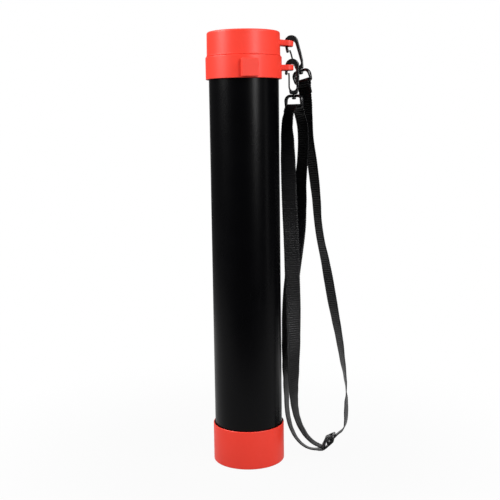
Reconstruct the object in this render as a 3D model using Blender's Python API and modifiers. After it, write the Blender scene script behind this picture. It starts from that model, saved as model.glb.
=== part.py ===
"""Pickleball pickup tube with a pull-off lid and a shoulder strap on two snap hooks.

The tube stands on its base cap, with the origin on the tube's axis at the floor and +Z up.
The lugs, the hooks and the strap are on the +X side. A ring of sprung fingers in the base
cap lets a ball in when the tube is pushed over it, and holds the column of balls up.
"""
import bpy
import bmesh
from math import acos, cos, degrees, pi, radians, sin
from mathutils import Matrix, Vector

MM = 0.001

# Clearances and building steps
SEAT_GAP = 0.3 * MM          # between pieces that rest on each other or are pushed together
PIN_GAP = 0.34 * MM          # round a rivet in its holes
STEM_GAP = 0.4 * MM          # round a swivel stem in its hub
WEB_GAP = 0.34 * MM          # between the webbing and a bar, or between two layers of it
WEB_SLACK = 0.55 * MM        # between the webbing and the slider's end bars
ROUND_STEPS = 60
SMALL_ROUND_STEPS = 20
WELD = 0.00001
SHARP_ANGLE = radians(32)

# Tube
BORE_RADIUS = 39.0 * MM      # a ball of 74 mm runs down a bore of 78 mm
TUBE_WALL = 2.6 * MM
TUBE_LENGTH = 458.4 * MM

# Base cap
BASE_HEIGHT = 47.2 * MM
BASE_WALL = 1.95 * MM        # outside the socket
BASE_FOOT_FILLET = 1.0 * MM
BASE_RIM_FILLET = 0.8 * MM
BASE_LEDGE = 3.0 * MM        # thickness of the floor ledge under the ring
MOUTH_RADIUS = 38.2 * MM
MOUTH_LEAD_IN = 1.0 * MM
SOCKET_LEAD_IN = 0.5 * MM

# Ring and fingers
RING_HEIGHT = 27.7 * MM
RING_WALL = 1.6 * MM
RING_FLANGE = 3.0 * MM
FINGER_COUNT = 6
FINGER_FIRST_ANGLE = 30.0    # degrees from +X
FINGER_LENGTH = 21.0 * MM
FINGER_THICKNESS = 1.5 * MM
FINGER_HINGE_RISE = 1.4 * MM # hinge line above the finger's foot
FINGER_WALL_GAP = 0.35 * MM  # from the finger's foot to the sleeve
FINGER_FOOT_GAP = 0.45 * MM  # from the finger's foot to the flange under it
FINGER_LEAN = 2.55 * MM      # the tip stands this much further in than the foot
FINGER_TIP_ROUND = 2.6 * MM
FINGER_LIP = 0.5 * MM
FINGER_ROWS = 9
FINGER_COLUMNS = 4
FINGER_LIP_START = 0.85      # share of the finger's length
FINGER_HALF_ANGLES = ((0.0, 6.0), (0.16, 6.0), (0.36, 14.5), (0.62, 17.0), (0.85, 15.0), (1.0, 11.0))

# Collar
COLLAR_WALL = 3.25 * MM
COLLAR_SOCKET_DEPTH = 22.8 * MM
COLLAR_SHOULDER = 3.2 * MM
COLLAR_FILLET = 0.9 * MM
NECK_HEIGHT = 14.3 * MM
NECK_WALL = 2.0 * MM
NECK_EDGE = 0.6 * MM
COLLAR_FOOT_EDGE = 0.5 * MM
PAD_WIDTH = 19.2 * MM
PAD_HEIGHT = 20.4 * MM
PAD_PROUD = 4.4 * MM
PAD_EDGE = 0.7 * MM
PAD_DRAFT = 0.7 * MM         # each side is this much wider at the foot
PAD_ROOT_DEPTH = 1.65 * MM   # the pad's root inside the collar wall
PAD_ANGLE = 8.9              # degrees from -Y towards +X
PAD_MIDDLE = 11.5 * MM       # above the collar's bottom edge

# Lid
LID_HEIGHT = 28.5 * MM
LID_TOP = 2.2 * MM
LID_WALL = 1.95 * MM
LID_SKIRT_GAP = 0.9 * MM     # round the neck at the skirt's open end
LID_DRAFT = 0.6 * MM
LID_FILLET = 1.6 * MM
LID_BEAD = 1.4 * MM          # height of the narrow bead at the skirt's edge
LID_BEAD_PROUD = 0.35 * MM
GRIP_RIB_COUNT = 8
GRIP_RIB_WIDTH = 1.6 * MM
GRIP_RIB_GAP = 0.35 * MM
GRIP_RIB_START = 2.0 * MM
GRIP_RIB_HEIGHT = 9.0 * MM

# Lugs on the collar and the lid
LUG_REACH = 13.75 * MM       # from the collar's side to the lug's tip
LUG_WIDTH = 20.0 * MM
LUG_THICKNESS = 6.4 * MM
LUG_CORNER = 7.0 * MM
LUG_EDGE = 1.0 * MM
LUG_HOLE_CENTRE = 5.65 * MM
LUG_HOLE_DEPTH = 8.0 * MM
LUG_HOLE_WIDTH = 12.5 * MM
LUG_HOLE_CORNER = 2.5 * MM
COLLAR_LUG_MIDDLE = 12.9 * MM  # above the collar's bottom edge
COLLAR_LUG_ROOT = 1.9 * MM     # how far the lug's root lies inside the collar's side
LID_LUG_MIDDLE = 15.4 * MM     # above the lid's bottom edge, at the lug's root
LID_LUG_ROOT = 3.05 * MM
LID_LUG_DROOP = 6.0            # degrees

# Snap hooks, in their own frame: the pivot is the middle of the lug's rim, +Z points up
HOOK_THICKNESS = 4.6 * MM
HOOK_EDGE = 1.15 * MM
HOOK_PLANE = 3.0 * MM        # hook A stands this far behind the middle, hook B this far in front
ARCH_CENTRE = (0.6 * MM, 2.1 * MM)
ARCH_RADIUS = 8.25 * MM
THROAT_RADIUS = 4.85 * MM
THROAT_DROP = 1.1 * MM
NOSE_LENGTH = 8.6 * MM
SPINE_INNER_LOW = 5.25 * MM
SLOT_BOTTOM = 26.7 * MM
SLOT_CORNER = 2.0 * MM
BODY_BOTTOM = 31.0 * MM
BODY_BOTTOM_LEFT = -1.4 * MM
BODY_BOTTOM_RIGHT = 5.4 * MM
BODY_FOOT_CORNER = 1.4 * MM
SPINE_LOW = (1.3 * MM, 4.9 * MM)   # in from the spine's outer side, and above the foot
SPINE_HIGH = (0.4 * MM, 9.5 * MM)
SPINE_TOP = -12.0 * MM             # the spine's outer side is straight above this
CHEEK_RADIUS = 1.9 * MM
CHEEK_SLOT = 2.5 * MM
PIN_X = -1.45 * MM
PIN_DROP = 27.5 * MM
PIN_RADIUS = 0.7 * MM
PIN_HEAD_RADIUS = 1.35 * MM
PIN_HEAD = 0.4 * MM
PIN_HEAD_FLAT = 0.7          # of the head's radius
GATE_THICKNESS = 1.1 * MM
GATE_WIDTH = 4.0 * MM
GATE_TONGUE = 1.8 * MM
GATE_TONGUE_TOP = 2.5 * MM
GATE_TIP = 21.2 * MM
GATE_LIP = 0.65 * MM
GATE_EDGE = 0.2 * MM
GATE_FOOT = 4.5 * MM         # the leaf is straight from here, above the pin
GATE_BEND = (3.6 * MM, 2.7 * MM, 1.5 * MM)  # the bent tip's corners, below its top
GATE_BACK = 2.4 * MM         # the leaf's outer face lies this far left of the pin
KNUCKLE_RADIUS = 1.5 * MM
KNUCKLE_ROOM = 0.55 * MM

# Swivel and eye
STEM_X = 2.35 * MM
STEM_RADIUS = 1.5 * MM
STEM_ROOT = 1.6 * MM
STEM_HEAD_RADIUS = 2.5 * MM
STEM_HEAD = 2.2 * MM
STEM_DOME = 0.65             # the dome's lower ring, as a share of the head's radius
HUB_RADIUS = 3.4 * MM
HUB_HEIGHT = 3.4 * MM
EYE_WIRE_RADIUS = 1.7 * MM
EYE_OPENING = 20.4 * MM
EYE_HEIGHT = 13.0 * MM       # between the middles of its top and bottom bars
EYE_SHOULDER = 6.0 * MM      # radius of its two upper corners
EYE_CORNER = 2.2 * MM        # radius of its two lower corners, beside the webbing

# How the hooks hang at rest, in degrees
HOOK_A_LEAN = 15.0
EYE_A_TURN = 42.0
HOOK_B_LEAN = 0.0
EYE_B_TURN = 40.0

# Slider
SLIDER_PLACE = (99.9 * MM, 0.0, 20.3 * MM)
SLIDER_TILT = 44.5           # degrees, its length rises from -X to +X
SLIDER_ROLL = -12.4          # degrees about its own length
SLIDER_SPAN = 19.4 * MM      # between the middles of its end bars
SLIDER_BAR_WIDTH = 3.0 * MM
SLIDER_RAIL = 2.8 * MM
SLIDER_THICKNESS = 3.0 * MM
SLIDER_EDGE = 1.2 * MM
SLIDER_CORNER = 4.0 * MM
SLIDER_BOW_STEPS = 10
SLIDER_BOW = 2.4 * MM         # the side rails rise this much at the middle
SLIDER_SIDE_ROOM = 0.7 * MM  # from the webbing's edge to the side rail
MIDDLE_BAR_RADIUS = 1.3 * MM
MIDDLE_BAR_DROP = 2.0 * MM   # below the middle of the bowed rails

# Webbing
WEB_WIDTH = 19.0 * MM
WEB_THICKNESS = 1.3 * MM
WEB_STEP = 9.5 * MM
TAIL_LENGTH = 14.0 * MM      # of the end sewn down behind strand A
TAIL_DRIFT = 1.6 * MM        # how far that end leans over, as strand A does

# The strap's hand-laid route, in millimetres: x, y, z, the heading of its width, its rise.
# Strand A hangs from eye A to the slider.
STRAND_A = (
    (73.6, 4.6, 443.0, -44, 4), (74.8, 8.2, 425.8, -46, 0), (77.0, 9.0, 394.7, -51, 0),
    (80.9, 8.5, 370.6, -54, 0), (83.9, 8.0, 346.4, -56, 0), (86.3, 7.5, 322.1, -61, 0),
    (87.9, 7.0, 297.6, -65, 0), (91.3, 6.5, 273.0, -64, 0), (96.5, 6.0, 248.2, -60, 0),
    (100.9, 5.5, 223.3, -56, 0), (105.1, 5.0, 198.2, -56, 0), (109.7, 4.5, 173.0, -61, 0),
    (114.2, 4.0, 147.7, -67, 0), (117.8, 3.5, 122.2, -75, 0), (121.2, 3.0, 98.6, -86, 0),
    (122.4, 2.7, 83.0, -95, 0), (122.4, 2.3, 69.3, -108, 0), (122.3, 2.0, 56.4, -111, 0),
    (122.0, 1.6, 45.5, -109, 2), (120.3, 1.2, 36.8, -105, 5), (117.0, 0.9, 32.0, -101, 8),
    (112.6, 0.6, 28.6, -99, 10),
)
# Strand L rises from the slider to eye B, in front.
STRAND_L = (
    (87.2, 0.0, 13.7, -99, 9), (82.0, 0.0, 16.7, -99, 7), (75.9, 0.0, 22.0, -100, 5),
    (67.9, 0.0, 33.2, -105, 2), (61.9, -1.0, 47.0, -110, 0), (58.7, -2.0, 60.4, -116, 0),
    (57.1, -3.0, 73.6, -123, 0), (56.5, -3.5, 86.7, -130, 0), (56.4, -4.5, 112.6, -142, 0),
    (56.7, -6.0, 151.0, -156, 0), (56.3, -7.0, 201.3, -172, 0), (55.6, -7.5, 226.2, -178, 0),
    (54.4, -8.0, 275.4, -181, 0), (53.0, -8.0, 311.8, -187, 0), (52.1, -8.2, 340.0, -192, 0),
    (51.4, -8.5, 368.0, -200, 0), (50.9, -8.8, 393.0, -214, 0), (50.5, -9.4, 413.0, -228, 0),
)
# Strand R falls from eye B to the slider, behind.
STRAND_R = (
    (69.0, 5.0, 415.0, -230, 0), (70.3, 5.8, 394.9, -232, 0), (69.4, 6.4, 370.9, -231, 0),
    (67.3, 7.0, 346.7, -225, 0), (65.9, 7.4, 316.0, -210, 0), (64.0, 7.5, 285.6, -198, 0),
    (60.8, 7.5, 260.9, -188, 0), (57.3, 7.5, 236.1, -182, 0), (54.2, 7.5, 211.1, -180, 0),
    (52.3, 7.0, 183.0, -176, 0), (51.2, 6.5, 147.0, -162, 0), (49.8, 6.0, 120.0, -140, 0),
    (48.5, 5.4, 97.0, -121, 0), (48.0, 4.8, 76.0, -110, 0), (48.6, 4.0, 58.5, -107, 0),
    (50.8, 3.0, 44.8, -105, 3), (54.8, 2.0, 32.4, -102, 8), (61.8, 1.0, 20.4, -99, 12),
    (68.5, 0.5, 13.8, -98, 14), (75.4, 0.0, 10.0, -98, 15), (82.8, 0.0, 8.4, -98, 14),
)

# The loose arch over eye B's bar: y and z from the bar in millimetres, and the width's turn.
ARCH_B = (
    (-10.6, -7.6, 0.24), (-8.6, -2.9, 0.14), (-4.6, 1.25, 0.04), (0.0, 2.85, 0.0),
    (4.6, 1.25, 0.04), (8.2, -2.9, 0.14), (10.4, -7.9, 0.24),
)
# The sewn end in the slider's frame, x and z in millimetres: its way in under the left bar,
# and its way back after the middle bar.
SEWN_WAY_IN = (
    (-16.1, -0.9), (-12.5, -3.7), (-9.3, -4.45), (-4.6, -4.75), (0.5, -5.0), (4.4, -4.75), (6.0, -3.5),
    (5.2, -1.9),
)
SEWN_WAY_BACK = ((-3.15, -1.75), (-3.75, -2.65), (-3.1, -3.3), (-1.0, -3.4), (3.4, -3.3))

# Where the route expects the middle of eye A's bar, of eye B's bar and of the slider
ROUTE_EYE_A = Vector((70.9, 3.0, 464.0)) * MM
ROUTE_EYE_B = Vector((59.2, -3.0, 434.1)) * MM
ROUTE_SLIDER = Vector((99.9, 0.0, 20.3)) * MM

# Sizes that follow from the ones above
TUBE_RADIUS = BORE_RADIUS + TUBE_WALL
SOCKET_RADIUS = TUBE_RADIUS + SEAT_GAP
BASE_RADIUS = SOCKET_RADIUS + BASE_WALL
RING_BOTTOM = BASE_LEDGE + SEAT_GAP
RING_TOP = RING_BOTTOM + RING_HEIGHT
RING_RADIUS = SOCKET_RADIUS - SEAT_GAP
FINGER_FOOT = RING_BOTTOM + RING_FLANGE + FINGER_FOOT_GAP
HINGE_HEIGHT = FINGER_FOOT + FINGER_HINGE_RISE
HINGE_RADIUS = RING_RADIUS - RING_WALL - FINGER_WALL_GAP - FINGER_THICKNESS / 2
TUBE_BOTTOM = RING_TOP + SEAT_GAP
TUBE_TOP = TUBE_BOTTOM + TUBE_LENGTH
COLLAR_LEDGE = TUBE_TOP + SEAT_GAP
COLLAR_BOTTOM = COLLAR_LEDGE - COLLAR_SOCKET_DEPTH
COLLAR_RADIUS = SOCKET_RADIUS + COLLAR_WALL
SHOULDER_TOP = COLLAR_LEDGE + COLLAR_SHOULDER
NECK_TOP = SHOULDER_TOP + NECK_HEIGHT
NECK_RADIUS = BORE_RADIUS + NECK_WALL
LID_BOTTOM = SHOULDER_TOP + SEAT_GAP
LID_RADIUS = NECK_RADIUS + LID_SKIRT_GAP + LID_WALL
RIM_X = COLLAR_RADIUS + (LUG_HOLE_CENTRE + LUG_HOLE_DEPTH / 2 + LUG_REACH) / 2
LID_LUG_HEIGHT = LID_BOTTOM + LID_LUG_MIDDLE
COLLAR_LUG_HEIGHT = COLLAR_BOTTOM + COLLAR_LUG_MIDDLE
DROOP_TURN = Matrix.Rotation(radians(LID_LUG_DROOP), 4, "Y")
LID_LUG_FRAME = Matrix.Translation((COLLAR_RADIUS, 0, LID_LUG_HEIGHT)) @ DROOP_TURN
PIVOT_A = LID_LUG_FRAME @ Vector((RIM_X - COLLAR_RADIUS, 0, 0)) + Vector((0, HOOK_PLANE, 0))
PIVOT_B = Vector((RIM_X, -HOOK_PLANE, COLLAR_LUG_HEIGHT))
HUB_TOP = -BODY_BOTTOM - SEAT_GAP
STEM_HEAD_TOP = HUB_TOP - HUB_HEIGHT - SEAT_GAP
EYE_TOP_BAR = HUB_TOP - HUB_HEIGHT / 2
EYE_BAR = EYE_TOP_BAR - EYE_HEIGHT
EYE_FOLD_RADIUS = EYE_WIRE_RADIUS + WEB_GAP + WEB_THICKNESS / 2
END_FOLD_RADIUS = SLIDER_BAR_WIDTH / 2 + WEB_SLACK + WEB_THICKNESS / 2
SEWN_FOLD_RADIUS = MIDDLE_BAR_RADIUS + WEB_GAP + WEB_THICKNESS / 2
OVER_FOLD_RADIUS = SEWN_FOLD_RADIUS + WEB_THICKNESS + WEB_GAP
LAYER_STEP = WEB_THICKNESS + WEB_GAP

# Colour, roughness and metallic value of each material
MATERIALS = {
    "red_shell": ((0.83, 0.065, 0.035, 1), 0.35, 0.0),
    "black_tube": ((0.004, 0.004, 0.006, 1), 0.3, 0.0),
    "black_soft_plastic": ((0.012, 0.012, 0.013, 1), 0.6, 0.0),
    "black_hook_plastic": ((0.01, 0.01, 0.012, 1), 0.3, 0.0),
    "rivet_steel": ((0.35, 0.35, 0.36, 1), 0.3, 1.0),
    "black_webbing": ((0.016, 0.014, 0.018, 1), 0.85, 0.0),
}


def start_scene():
    """Empty the scene and make the collection that holds the pickup tube."""
    for piece in list(bpy.data.objects):
        bpy.data.objects.remove(piece)
    collection = bpy.data.collections.new("pickleball_pickup_tube")
    bpy.context.scene.collection.children.link(collection)
    return collection


COLLECTION = start_scene()


def material(name):
    """The named material, made the first time that it is asked for."""
    found = bpy.data.materials.get(name)
    if found:
        return found
    colour, roughness, metallic = MATERIALS[name]
    made = bpy.data.materials.new(name)
    made.use_nodes = True
    shader = made.node_tree.nodes["Principled BSDF"]
    shader.inputs["Base Color"].default_value = colour
    shader.inputs["Roughness"].default_value = roughness
    shader.inputs["Metallic"].default_value = metallic
    made.diffuse_color = colour
    return made


def add_piece(name, data):
    """A new object of the pickup tube that shows a mesh or a curve."""
    piece = bpy.data.objects.new(name, data)
    COLLECTION.objects.link(piece)
    return piece


def shape_of(piece):
    """A piece's mesh with its modifiers worked in, welded and facing outwards."""
    bpy.context.view_layer.update()
    graph = bpy.context.evaluated_depsgraph_get()
    mesh = bpy.data.meshes.new_from_object(piece.evaluated_get(graph))
    shape = bmesh.new()
    shape.from_mesh(mesh)
    bmesh.ops.remove_doubles(shape, verts=shape.verts, dist=WELD)
    bmesh.ops.recalc_face_normals(shape, faces=shape.faces)
    shape.to_mesh(mesh)
    shape.free()
    return mesh


def worked(piece, place=None):
    """Replace a curve or a piece with modifiers by a plain mesh, moved by place."""
    mesh = shape_of(piece)
    mesh.transform((place or Matrix()) @ piece.matrix_world)
    name = piece.name
    bpy.data.objects.remove(piece)
    return add_piece(name, mesh)


def combine(piece, tools, operation):
    """Join tools to a piece or cut them out of it, one after another."""
    for tool in tools:
        step = piece.modifiers.new(operation.title(), "BOOLEAN")
        step.operation = operation
        step.solver = "EXACT"
        step.object = tool
    result = worked(piece)
    for tool in tools:
        bpy.data.objects.remove(tool)
    return result


def join(piece, *tools):
    return combine(piece, tools, "UNION")


def cut(piece, *tools):
    return combine(piece, tools, "DIFFERENCE")


def finish(piece, name, material_name):
    """Name a finished piece, shade it smooth up to its edges and give it its material."""
    piece.name = name
    piece.data.name = name
    piece.data.shade_smooth()
    piece.data.set_sharp_from_angle(angle=SHARP_ANGLE)
    piece.data.materials.clear()
    piece.data.materials.append(material(material_name))
    return piece


def arc(centre, radius, start, end, steps):
    """Points on a circle from the start angle to the end angle, in degrees."""
    points = []
    for step in range(steps + 1):
        angle = radians(start + (end - start) * step / steps)
        points.append((centre[0] + radius * cos(angle), centre[1] + radius * sin(angle)))
    return points


def rounded_rectangle(width, depth, corner, steps, centre=(0.0, 0.0), shoulder=None):
    """An anticlockwise outline with four round corners, the upper two of their own radius."""
    points = []
    for start, side_x, side_y in ((0, 1, 1), (90, -1, 1), (180, -1, -1), (270, 1, -1)):
        radius = (shoulder or corner) if side_y > 0 else corner
        middle_x = centre[0] + side_x * (width / 2 - radius)
        middle_y = centre[1] + side_y * (depth / 2 - radius)
        points += arc((middle_x, middle_y), radius, start, start + 90, steps)
    return points


def turned(outline, steps=ROUND_STEPS, closed=True):
    """A solid turned about Z from (radius, height) points that run down its outer side."""
    mesh = bpy.data.meshes.new("turned")
    shape = bmesh.new()
    points = [shape.verts.new((radius, 0, height)) for radius, height in outline]
    following = points[1:] + points[:1] if closed else points[1:]
    for point, after in zip(points, following):
        shape.edges.new((point, after))
    shape.to_mesh(mesh)
    shape.free()
    piece = add_piece("turned", mesh)
    turn = piece.modifiers.new("Turn", "SCREW")
    turn.angle = 2 * pi
    turn.steps = steps
    turn.render_steps = steps
    turn.use_merge_vertices = True
    turn.merge_threshold = WELD
    return worked(piece)


def plate(outlines, thickness, edge, place=None):
    """A flat plate cut to its outlines, with rounded edges, lying in the XY plane."""
    curve = bpy.data.curves.new("plate", "CURVE")
    curve.dimensions = "2D"
    curve.fill_mode = "BOTH"
    curve.extrude = thickness / 2 - edge
    curve.bevel_depth = edge
    curve.bevel_resolution = 1
    curve.offset = -edge
    for outline in outlines:
        add_spline(curve, [(x, y, 0) for x, y in outline], closed=True)
    return worked(add_piece("plate", curve), place)


def rod_along(points, radius, closed, sides, place=None):
    """A round rod that follows points."""
    curve = bpy.data.curves.new("rod", "CURVE")
    curve.dimensions = "3D"
    curve.bevel_depth = radius
    curve.bevel_resolution = sides
    curve.use_fill_caps = True
    add_spline(curve, points, closed)
    return worked(add_piece("rod", curve), place)


def add_spline(curve, points, closed):
    spline = curve.splines.new("POLY")
    spline.points.add(len(points) - 1)
    for target, point in zip(spline.points, points):
        target.co = (*point, 1)
    spline.use_cyclic_u = closed


def cylinder(radius, length, place, steps=SMALL_ROUND_STEPS):
    """A plain cylinder along its own Z, set by place."""
    mesh = bpy.data.meshes.new("cylinder")
    shape = bmesh.new()
    bmesh.ops.create_cone(shape, cap_ends=True, segments=steps, radius1=radius, radius2=radius, depth=length)
    shape.to_mesh(mesh)
    shape.free()
    mesh.transform(place)
    return add_piece("cylinder", mesh)


def block(size, place):
    """A plain block with its middle at place."""
    mesh = bpy.data.meshes.new("block")
    shape = bmesh.new()
    bmesh.ops.create_cube(shape, size=1.0, matrix=Matrix.Diagonal((*size, 1)))
    shape.to_mesh(mesh)
    shape.free()
    mesh.transform(place)
    return add_piece("block", mesh)


STAND_UP = Matrix.Rotation(radians(90), 4, "X")


def build_tube():
    outline = [
        (TUBE_RADIUS, TUBE_TOP),
        (TUBE_RADIUS, TUBE_BOTTOM),
        (BORE_RADIUS, TUBE_BOTTOM),
        (BORE_RADIUS, TUBE_TOP),
    ]
    finish(turned(outline), "tube_barrel", "black_tube")


def build_base_cap():
    fillet = BASE_FOOT_FILLET
    outline = [
        *arc((BASE_RADIUS - BASE_RIM_FILLET, BASE_HEIGHT - BASE_RIM_FILLET), BASE_RIM_FILLET, 90, 0, 2),
        *arc((BASE_RADIUS - fillet, fillet), fillet, 0, -90, 5),
        (MOUTH_RADIUS + MOUTH_LEAD_IN, 0),
        (MOUTH_RADIUS, MOUTH_LEAD_IN),
        (MOUTH_RADIUS, BASE_LEDGE),
        (SOCKET_RADIUS, BASE_LEDGE),
        (SOCKET_RADIUS, BASE_HEIGHT - SOCKET_LEAD_IN),
        (SOCKET_RADIUS + SOCKET_LEAD_IN, BASE_HEIGHT),
    ]
    finish(turned(outline), "base_cap", "red_shell")


def build_ring():
    flange_top = RING_BOTTOM + RING_FLANGE
    outline = [
        (RING_RADIUS, RING_TOP),
        (RING_RADIUS, RING_BOTTOM),
        (MOUTH_RADIUS, RING_BOTTOM),
        (MOUTH_RADIUS, flange_top),
        (RING_RADIUS - RING_WALL, flange_top),
        (RING_RADIUS - RING_WALL, RING_TOP),
    ]
    finish(turned(outline), "ball_gate_ring", "black_soft_plastic")


def half_angle_at(along):
    """The finger's half width, in degrees round the ring, at a share of its length."""
    for (low, low_angle), (high, high_angle) in zip(FINGER_HALF_ANGLES, FINGER_HALF_ANGLES[1:]):
        if along <= high:
            return low_angle + (high_angle - low_angle) * (along - low) / (high - low)
    return FINGER_HALF_ANGLES[-1][1]


def finger_mesh():
    """One finger, a curved leaf with a narrow hinge, with its origin on the hinge line."""
    mesh = bpy.data.meshes.new("finger")
    shape = bmesh.new()
    bmesh.ops.create_grid(shape, x_segments=FINGER_COLUMNS, y_segments=FINGER_ROWS, size=1.0)
    for point in shape.verts:
        across = point.co.x
        along = (point.co.y + 1) / 2
        angle = radians(half_angle_at(along) * across)
        lip = FINGER_LIP * max(0.0, along - FINGER_LIP_START) / (1 - FINGER_LIP_START)
        radius = HINGE_RADIUS - FINGER_LEAN * along - lip
        rise = FINGER_LENGTH * along - FINGER_TIP_ROUND * across ** 2 * along ** 6
        point.co = (
            radius * cos(angle) - HINGE_RADIUS,
            radius * sin(angle),
            rise - FINGER_HINGE_RISE,
        )
    shape.to_mesh(mesh)
    shape.free()
    leaf = add_piece("finger", mesh)
    wall = leaf.modifiers.new("Wall", "SOLIDIFY")
    wall.thickness = FINGER_THICKNESS
    wall.offset = 0
    wall.use_even_offset = True
    leaf = finish(worked(leaf), "finger", "black_soft_plastic")
    mesh = leaf.data
    bpy.data.objects.remove(leaf)
    return mesh


def build_fingers():
    mesh = finger_mesh()
    for number in range(FINGER_COUNT):
        angle = radians(FINGER_FIRST_ANGLE + 360 * number / FINGER_COUNT)
        finger = add_piece(f"finger_{number + 1}", mesh)
        finger.location = (HINGE_RADIUS * cos(angle), HINGE_RADIUS * sin(angle), HINGE_HEIGHT)
        finger.rotation_euler = (0, 0, angle)


def build_lug(root, place):
    """A lug with a slot for the snap hook. Its x starts at the collar's side, place sets it."""
    tip = [
        *arc((LUG_REACH - LUG_CORNER, LUG_WIDTH / 2 - LUG_CORNER), LUG_CORNER, 90, 0, 5)[::-1],
        *arc((LUG_REACH - LUG_CORNER, LUG_CORNER - LUG_WIDTH / 2), LUG_CORNER, 0, -90, 5)[::-1],
    ]
    outer = tip[6:] + tip[:6] + [(-root, LUG_WIDTH / 2), (-root, -LUG_WIDTH / 2)]
    slot = rounded_rectangle(LUG_HOLE_DEPTH, LUG_HOLE_WIDTH, LUG_HOLE_CORNER, 3, (LUG_HOLE_CENTRE, 0))
    return plate([outer, slot], LUG_THICKNESS, LUG_EDGE, place)


def build_pad():
    """The raised pad on the collar's front, a block that narrows towards its face."""
    foot = COLLAR_RADIUS - PAD_ROOT_DEPTH
    depth = PAD_ROOT_DEPTH + PAD_PROUD
    mesh = bpy.data.meshes.new("pad")
    shape = bmesh.new()
    bmesh.ops.create_cube(shape, size=1.0)
    for point in shape.verts:
        spread = PAD_DRAFT * (0.5 - point.co.z)
        point.co.x *= PAD_WIDTH + 2 * spread
        point.co.y *= PAD_HEIGHT
        point.co.z *= depth
    face_edges = [edge for edge in shape.edges if all(point.co.z > 0 for point in edge.verts)]
    bmesh.ops.bevel(
        shape, geom=face_edges, offset=PAD_EDGE, segments=2, profile=0.5, affect="EDGES", material=-1,
    )
    shape.to_mesh(mesh)
    shape.free()
    turn = Matrix.Rotation(radians(PAD_ANGLE), 4, "Z") @ STAND_UP
    rise = Matrix.Translation((0, 0, COLLAR_BOTTOM + PAD_MIDDLE))
    mesh.transform(rise @ turn @ Matrix.Translation((0, 0, foot + depth / 2)))
    return add_piece("pad", mesh)


def build_collar():
    fillet = COLLAR_FILLET
    outline = [
        (NECK_RADIUS - NECK_EDGE, NECK_TOP),
        (NECK_RADIUS, NECK_TOP - NECK_EDGE),
        (NECK_RADIUS, SHOULDER_TOP),
        *arc((COLLAR_RADIUS - fillet, SHOULDER_TOP - fillet), fillet, 90, 0, 3),
        (COLLAR_RADIUS, COLLAR_BOTTOM + COLLAR_FOOT_EDGE),
        (COLLAR_RADIUS - COLLAR_FOOT_EDGE, COLLAR_BOTTOM),
        (SOCKET_RADIUS + SOCKET_LEAD_IN, COLLAR_BOTTOM),
        (SOCKET_RADIUS, COLLAR_BOTTOM + SOCKET_LEAD_IN),
        (SOCKET_RADIUS, COLLAR_LEDGE),
        (BORE_RADIUS, COLLAR_LEDGE),
        (BORE_RADIUS, NECK_TOP),
    ]
    place = Matrix.Translation((COLLAR_RADIUS, 0, COLLAR_LUG_HEIGHT))
    collar = join(turned(outline), build_pad(), build_lug(COLLAR_LUG_ROOT, place))
    finish(collar, "collar", "red_shell")


def build_lid():
    lid_top = LID_BOTTOM + LID_HEIGHT
    top_radius = LID_RADIUS - LID_DRAFT
    skirt_radius = NECK_RADIUS + LID_SKIRT_GAP
    ceiling = lid_top - LID_TOP
    outline = [
        (0, lid_top),
        *arc((top_radius - LID_FILLET, lid_top - LID_FILLET), LID_FILLET, 90, 0, 4),
        (LID_RADIUS - LID_BEAD_PROUD, LID_BOTTOM + LID_BEAD + LID_BEAD_PROUD),
        (LID_RADIUS, LID_BOTTOM + LID_BEAD),
        (LID_RADIUS, LID_BOTTOM),
        (skirt_radius, LID_BOTTOM),
        (skirt_radius - LID_DRAFT, ceiling),
        (0, ceiling),
    ]
    lid = turned(outline, closed=False)
    ribs = []
    for number in range(GRIP_RIB_COUNT):
        turn = Matrix.Rotation(2 * pi * (number + 0.5) / GRIP_RIB_COUNT, 4, "Z")
        inner = NECK_RADIUS + GRIP_RIB_GAP
        depth = skirt_radius + LID_WALL / 2 - inner
        middle = (inner + depth / 2, 0, LID_BOTTOM + GRIP_RIB_START + GRIP_RIB_HEIGHT / 2)
        ribs.append(block((depth, GRIP_RIB_WIDTH, GRIP_RIB_HEIGHT), turn @ Matrix.Translation(middle)))
    lid = join(lid, build_lug(LID_LUG_ROOT, LID_LUG_FRAME), *ribs)
    finish(lid, "lid", "red_shell")


def hook_outline():
    """The hook seen from the front, in its own frame, anticlockwise from the nose's tip."""
    throat = (0.0, -THROAT_DROP)
    nose_left = ARCH_CENTRE[0] - ARCH_RADIUS
    nose_right = -THROAT_RADIUS
    nose_half = (nose_right - nose_left) / 2
    nose_tip = (nose_left + nose_half, nose_half - NOSE_LENGTH)
    pin = (PIN_X, -PIN_DROP)
    cheek_end = acos((PIN_DROP - SLOT_BOTTOM) / CHEEK_RADIUS)
    cheek_start = 90 - degrees(cheek_end)
    slot_corner = (SPINE_INNER_LOW - SLOT_CORNER, SLOT_CORNER - SLOT_BOTTOM)
    spine_outer = ARCH_CENTRE[0] + ARCH_RADIUS
    foot_corner = BODY_FOOT_CORNER - BODY_BOTTOM
    return [
        *arc(nose_tip, nose_half, 180, 360, 6),
        *arc(throat, THROAT_RADIUS, 180, 0, 12),
        *arc(slot_corner, SLOT_CORNER, 0, -90, 4),
        *arc(pin, CHEEK_RADIUS, cheek_start, 200, 8),
        *arc((BODY_BOTTOM_LEFT, foot_corner), BODY_FOOT_CORNER, 180, 270, 3),
        *arc((BODY_BOTTOM_RIGHT, foot_corner), BODY_FOOT_CORNER, 270, 350, 3),
        (spine_outer - SPINE_LOW[0], SPINE_LOW[1] - BODY_BOTTOM),
        (spine_outer - SPINE_HIGH[0], SPINE_HIGH[1] - BODY_BOTTOM),
        (spine_outer, SPINE_TOP),
        *arc(ARCH_CENTRE, ARCH_RADIUS, 0, 180, 14),
    ]


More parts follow.
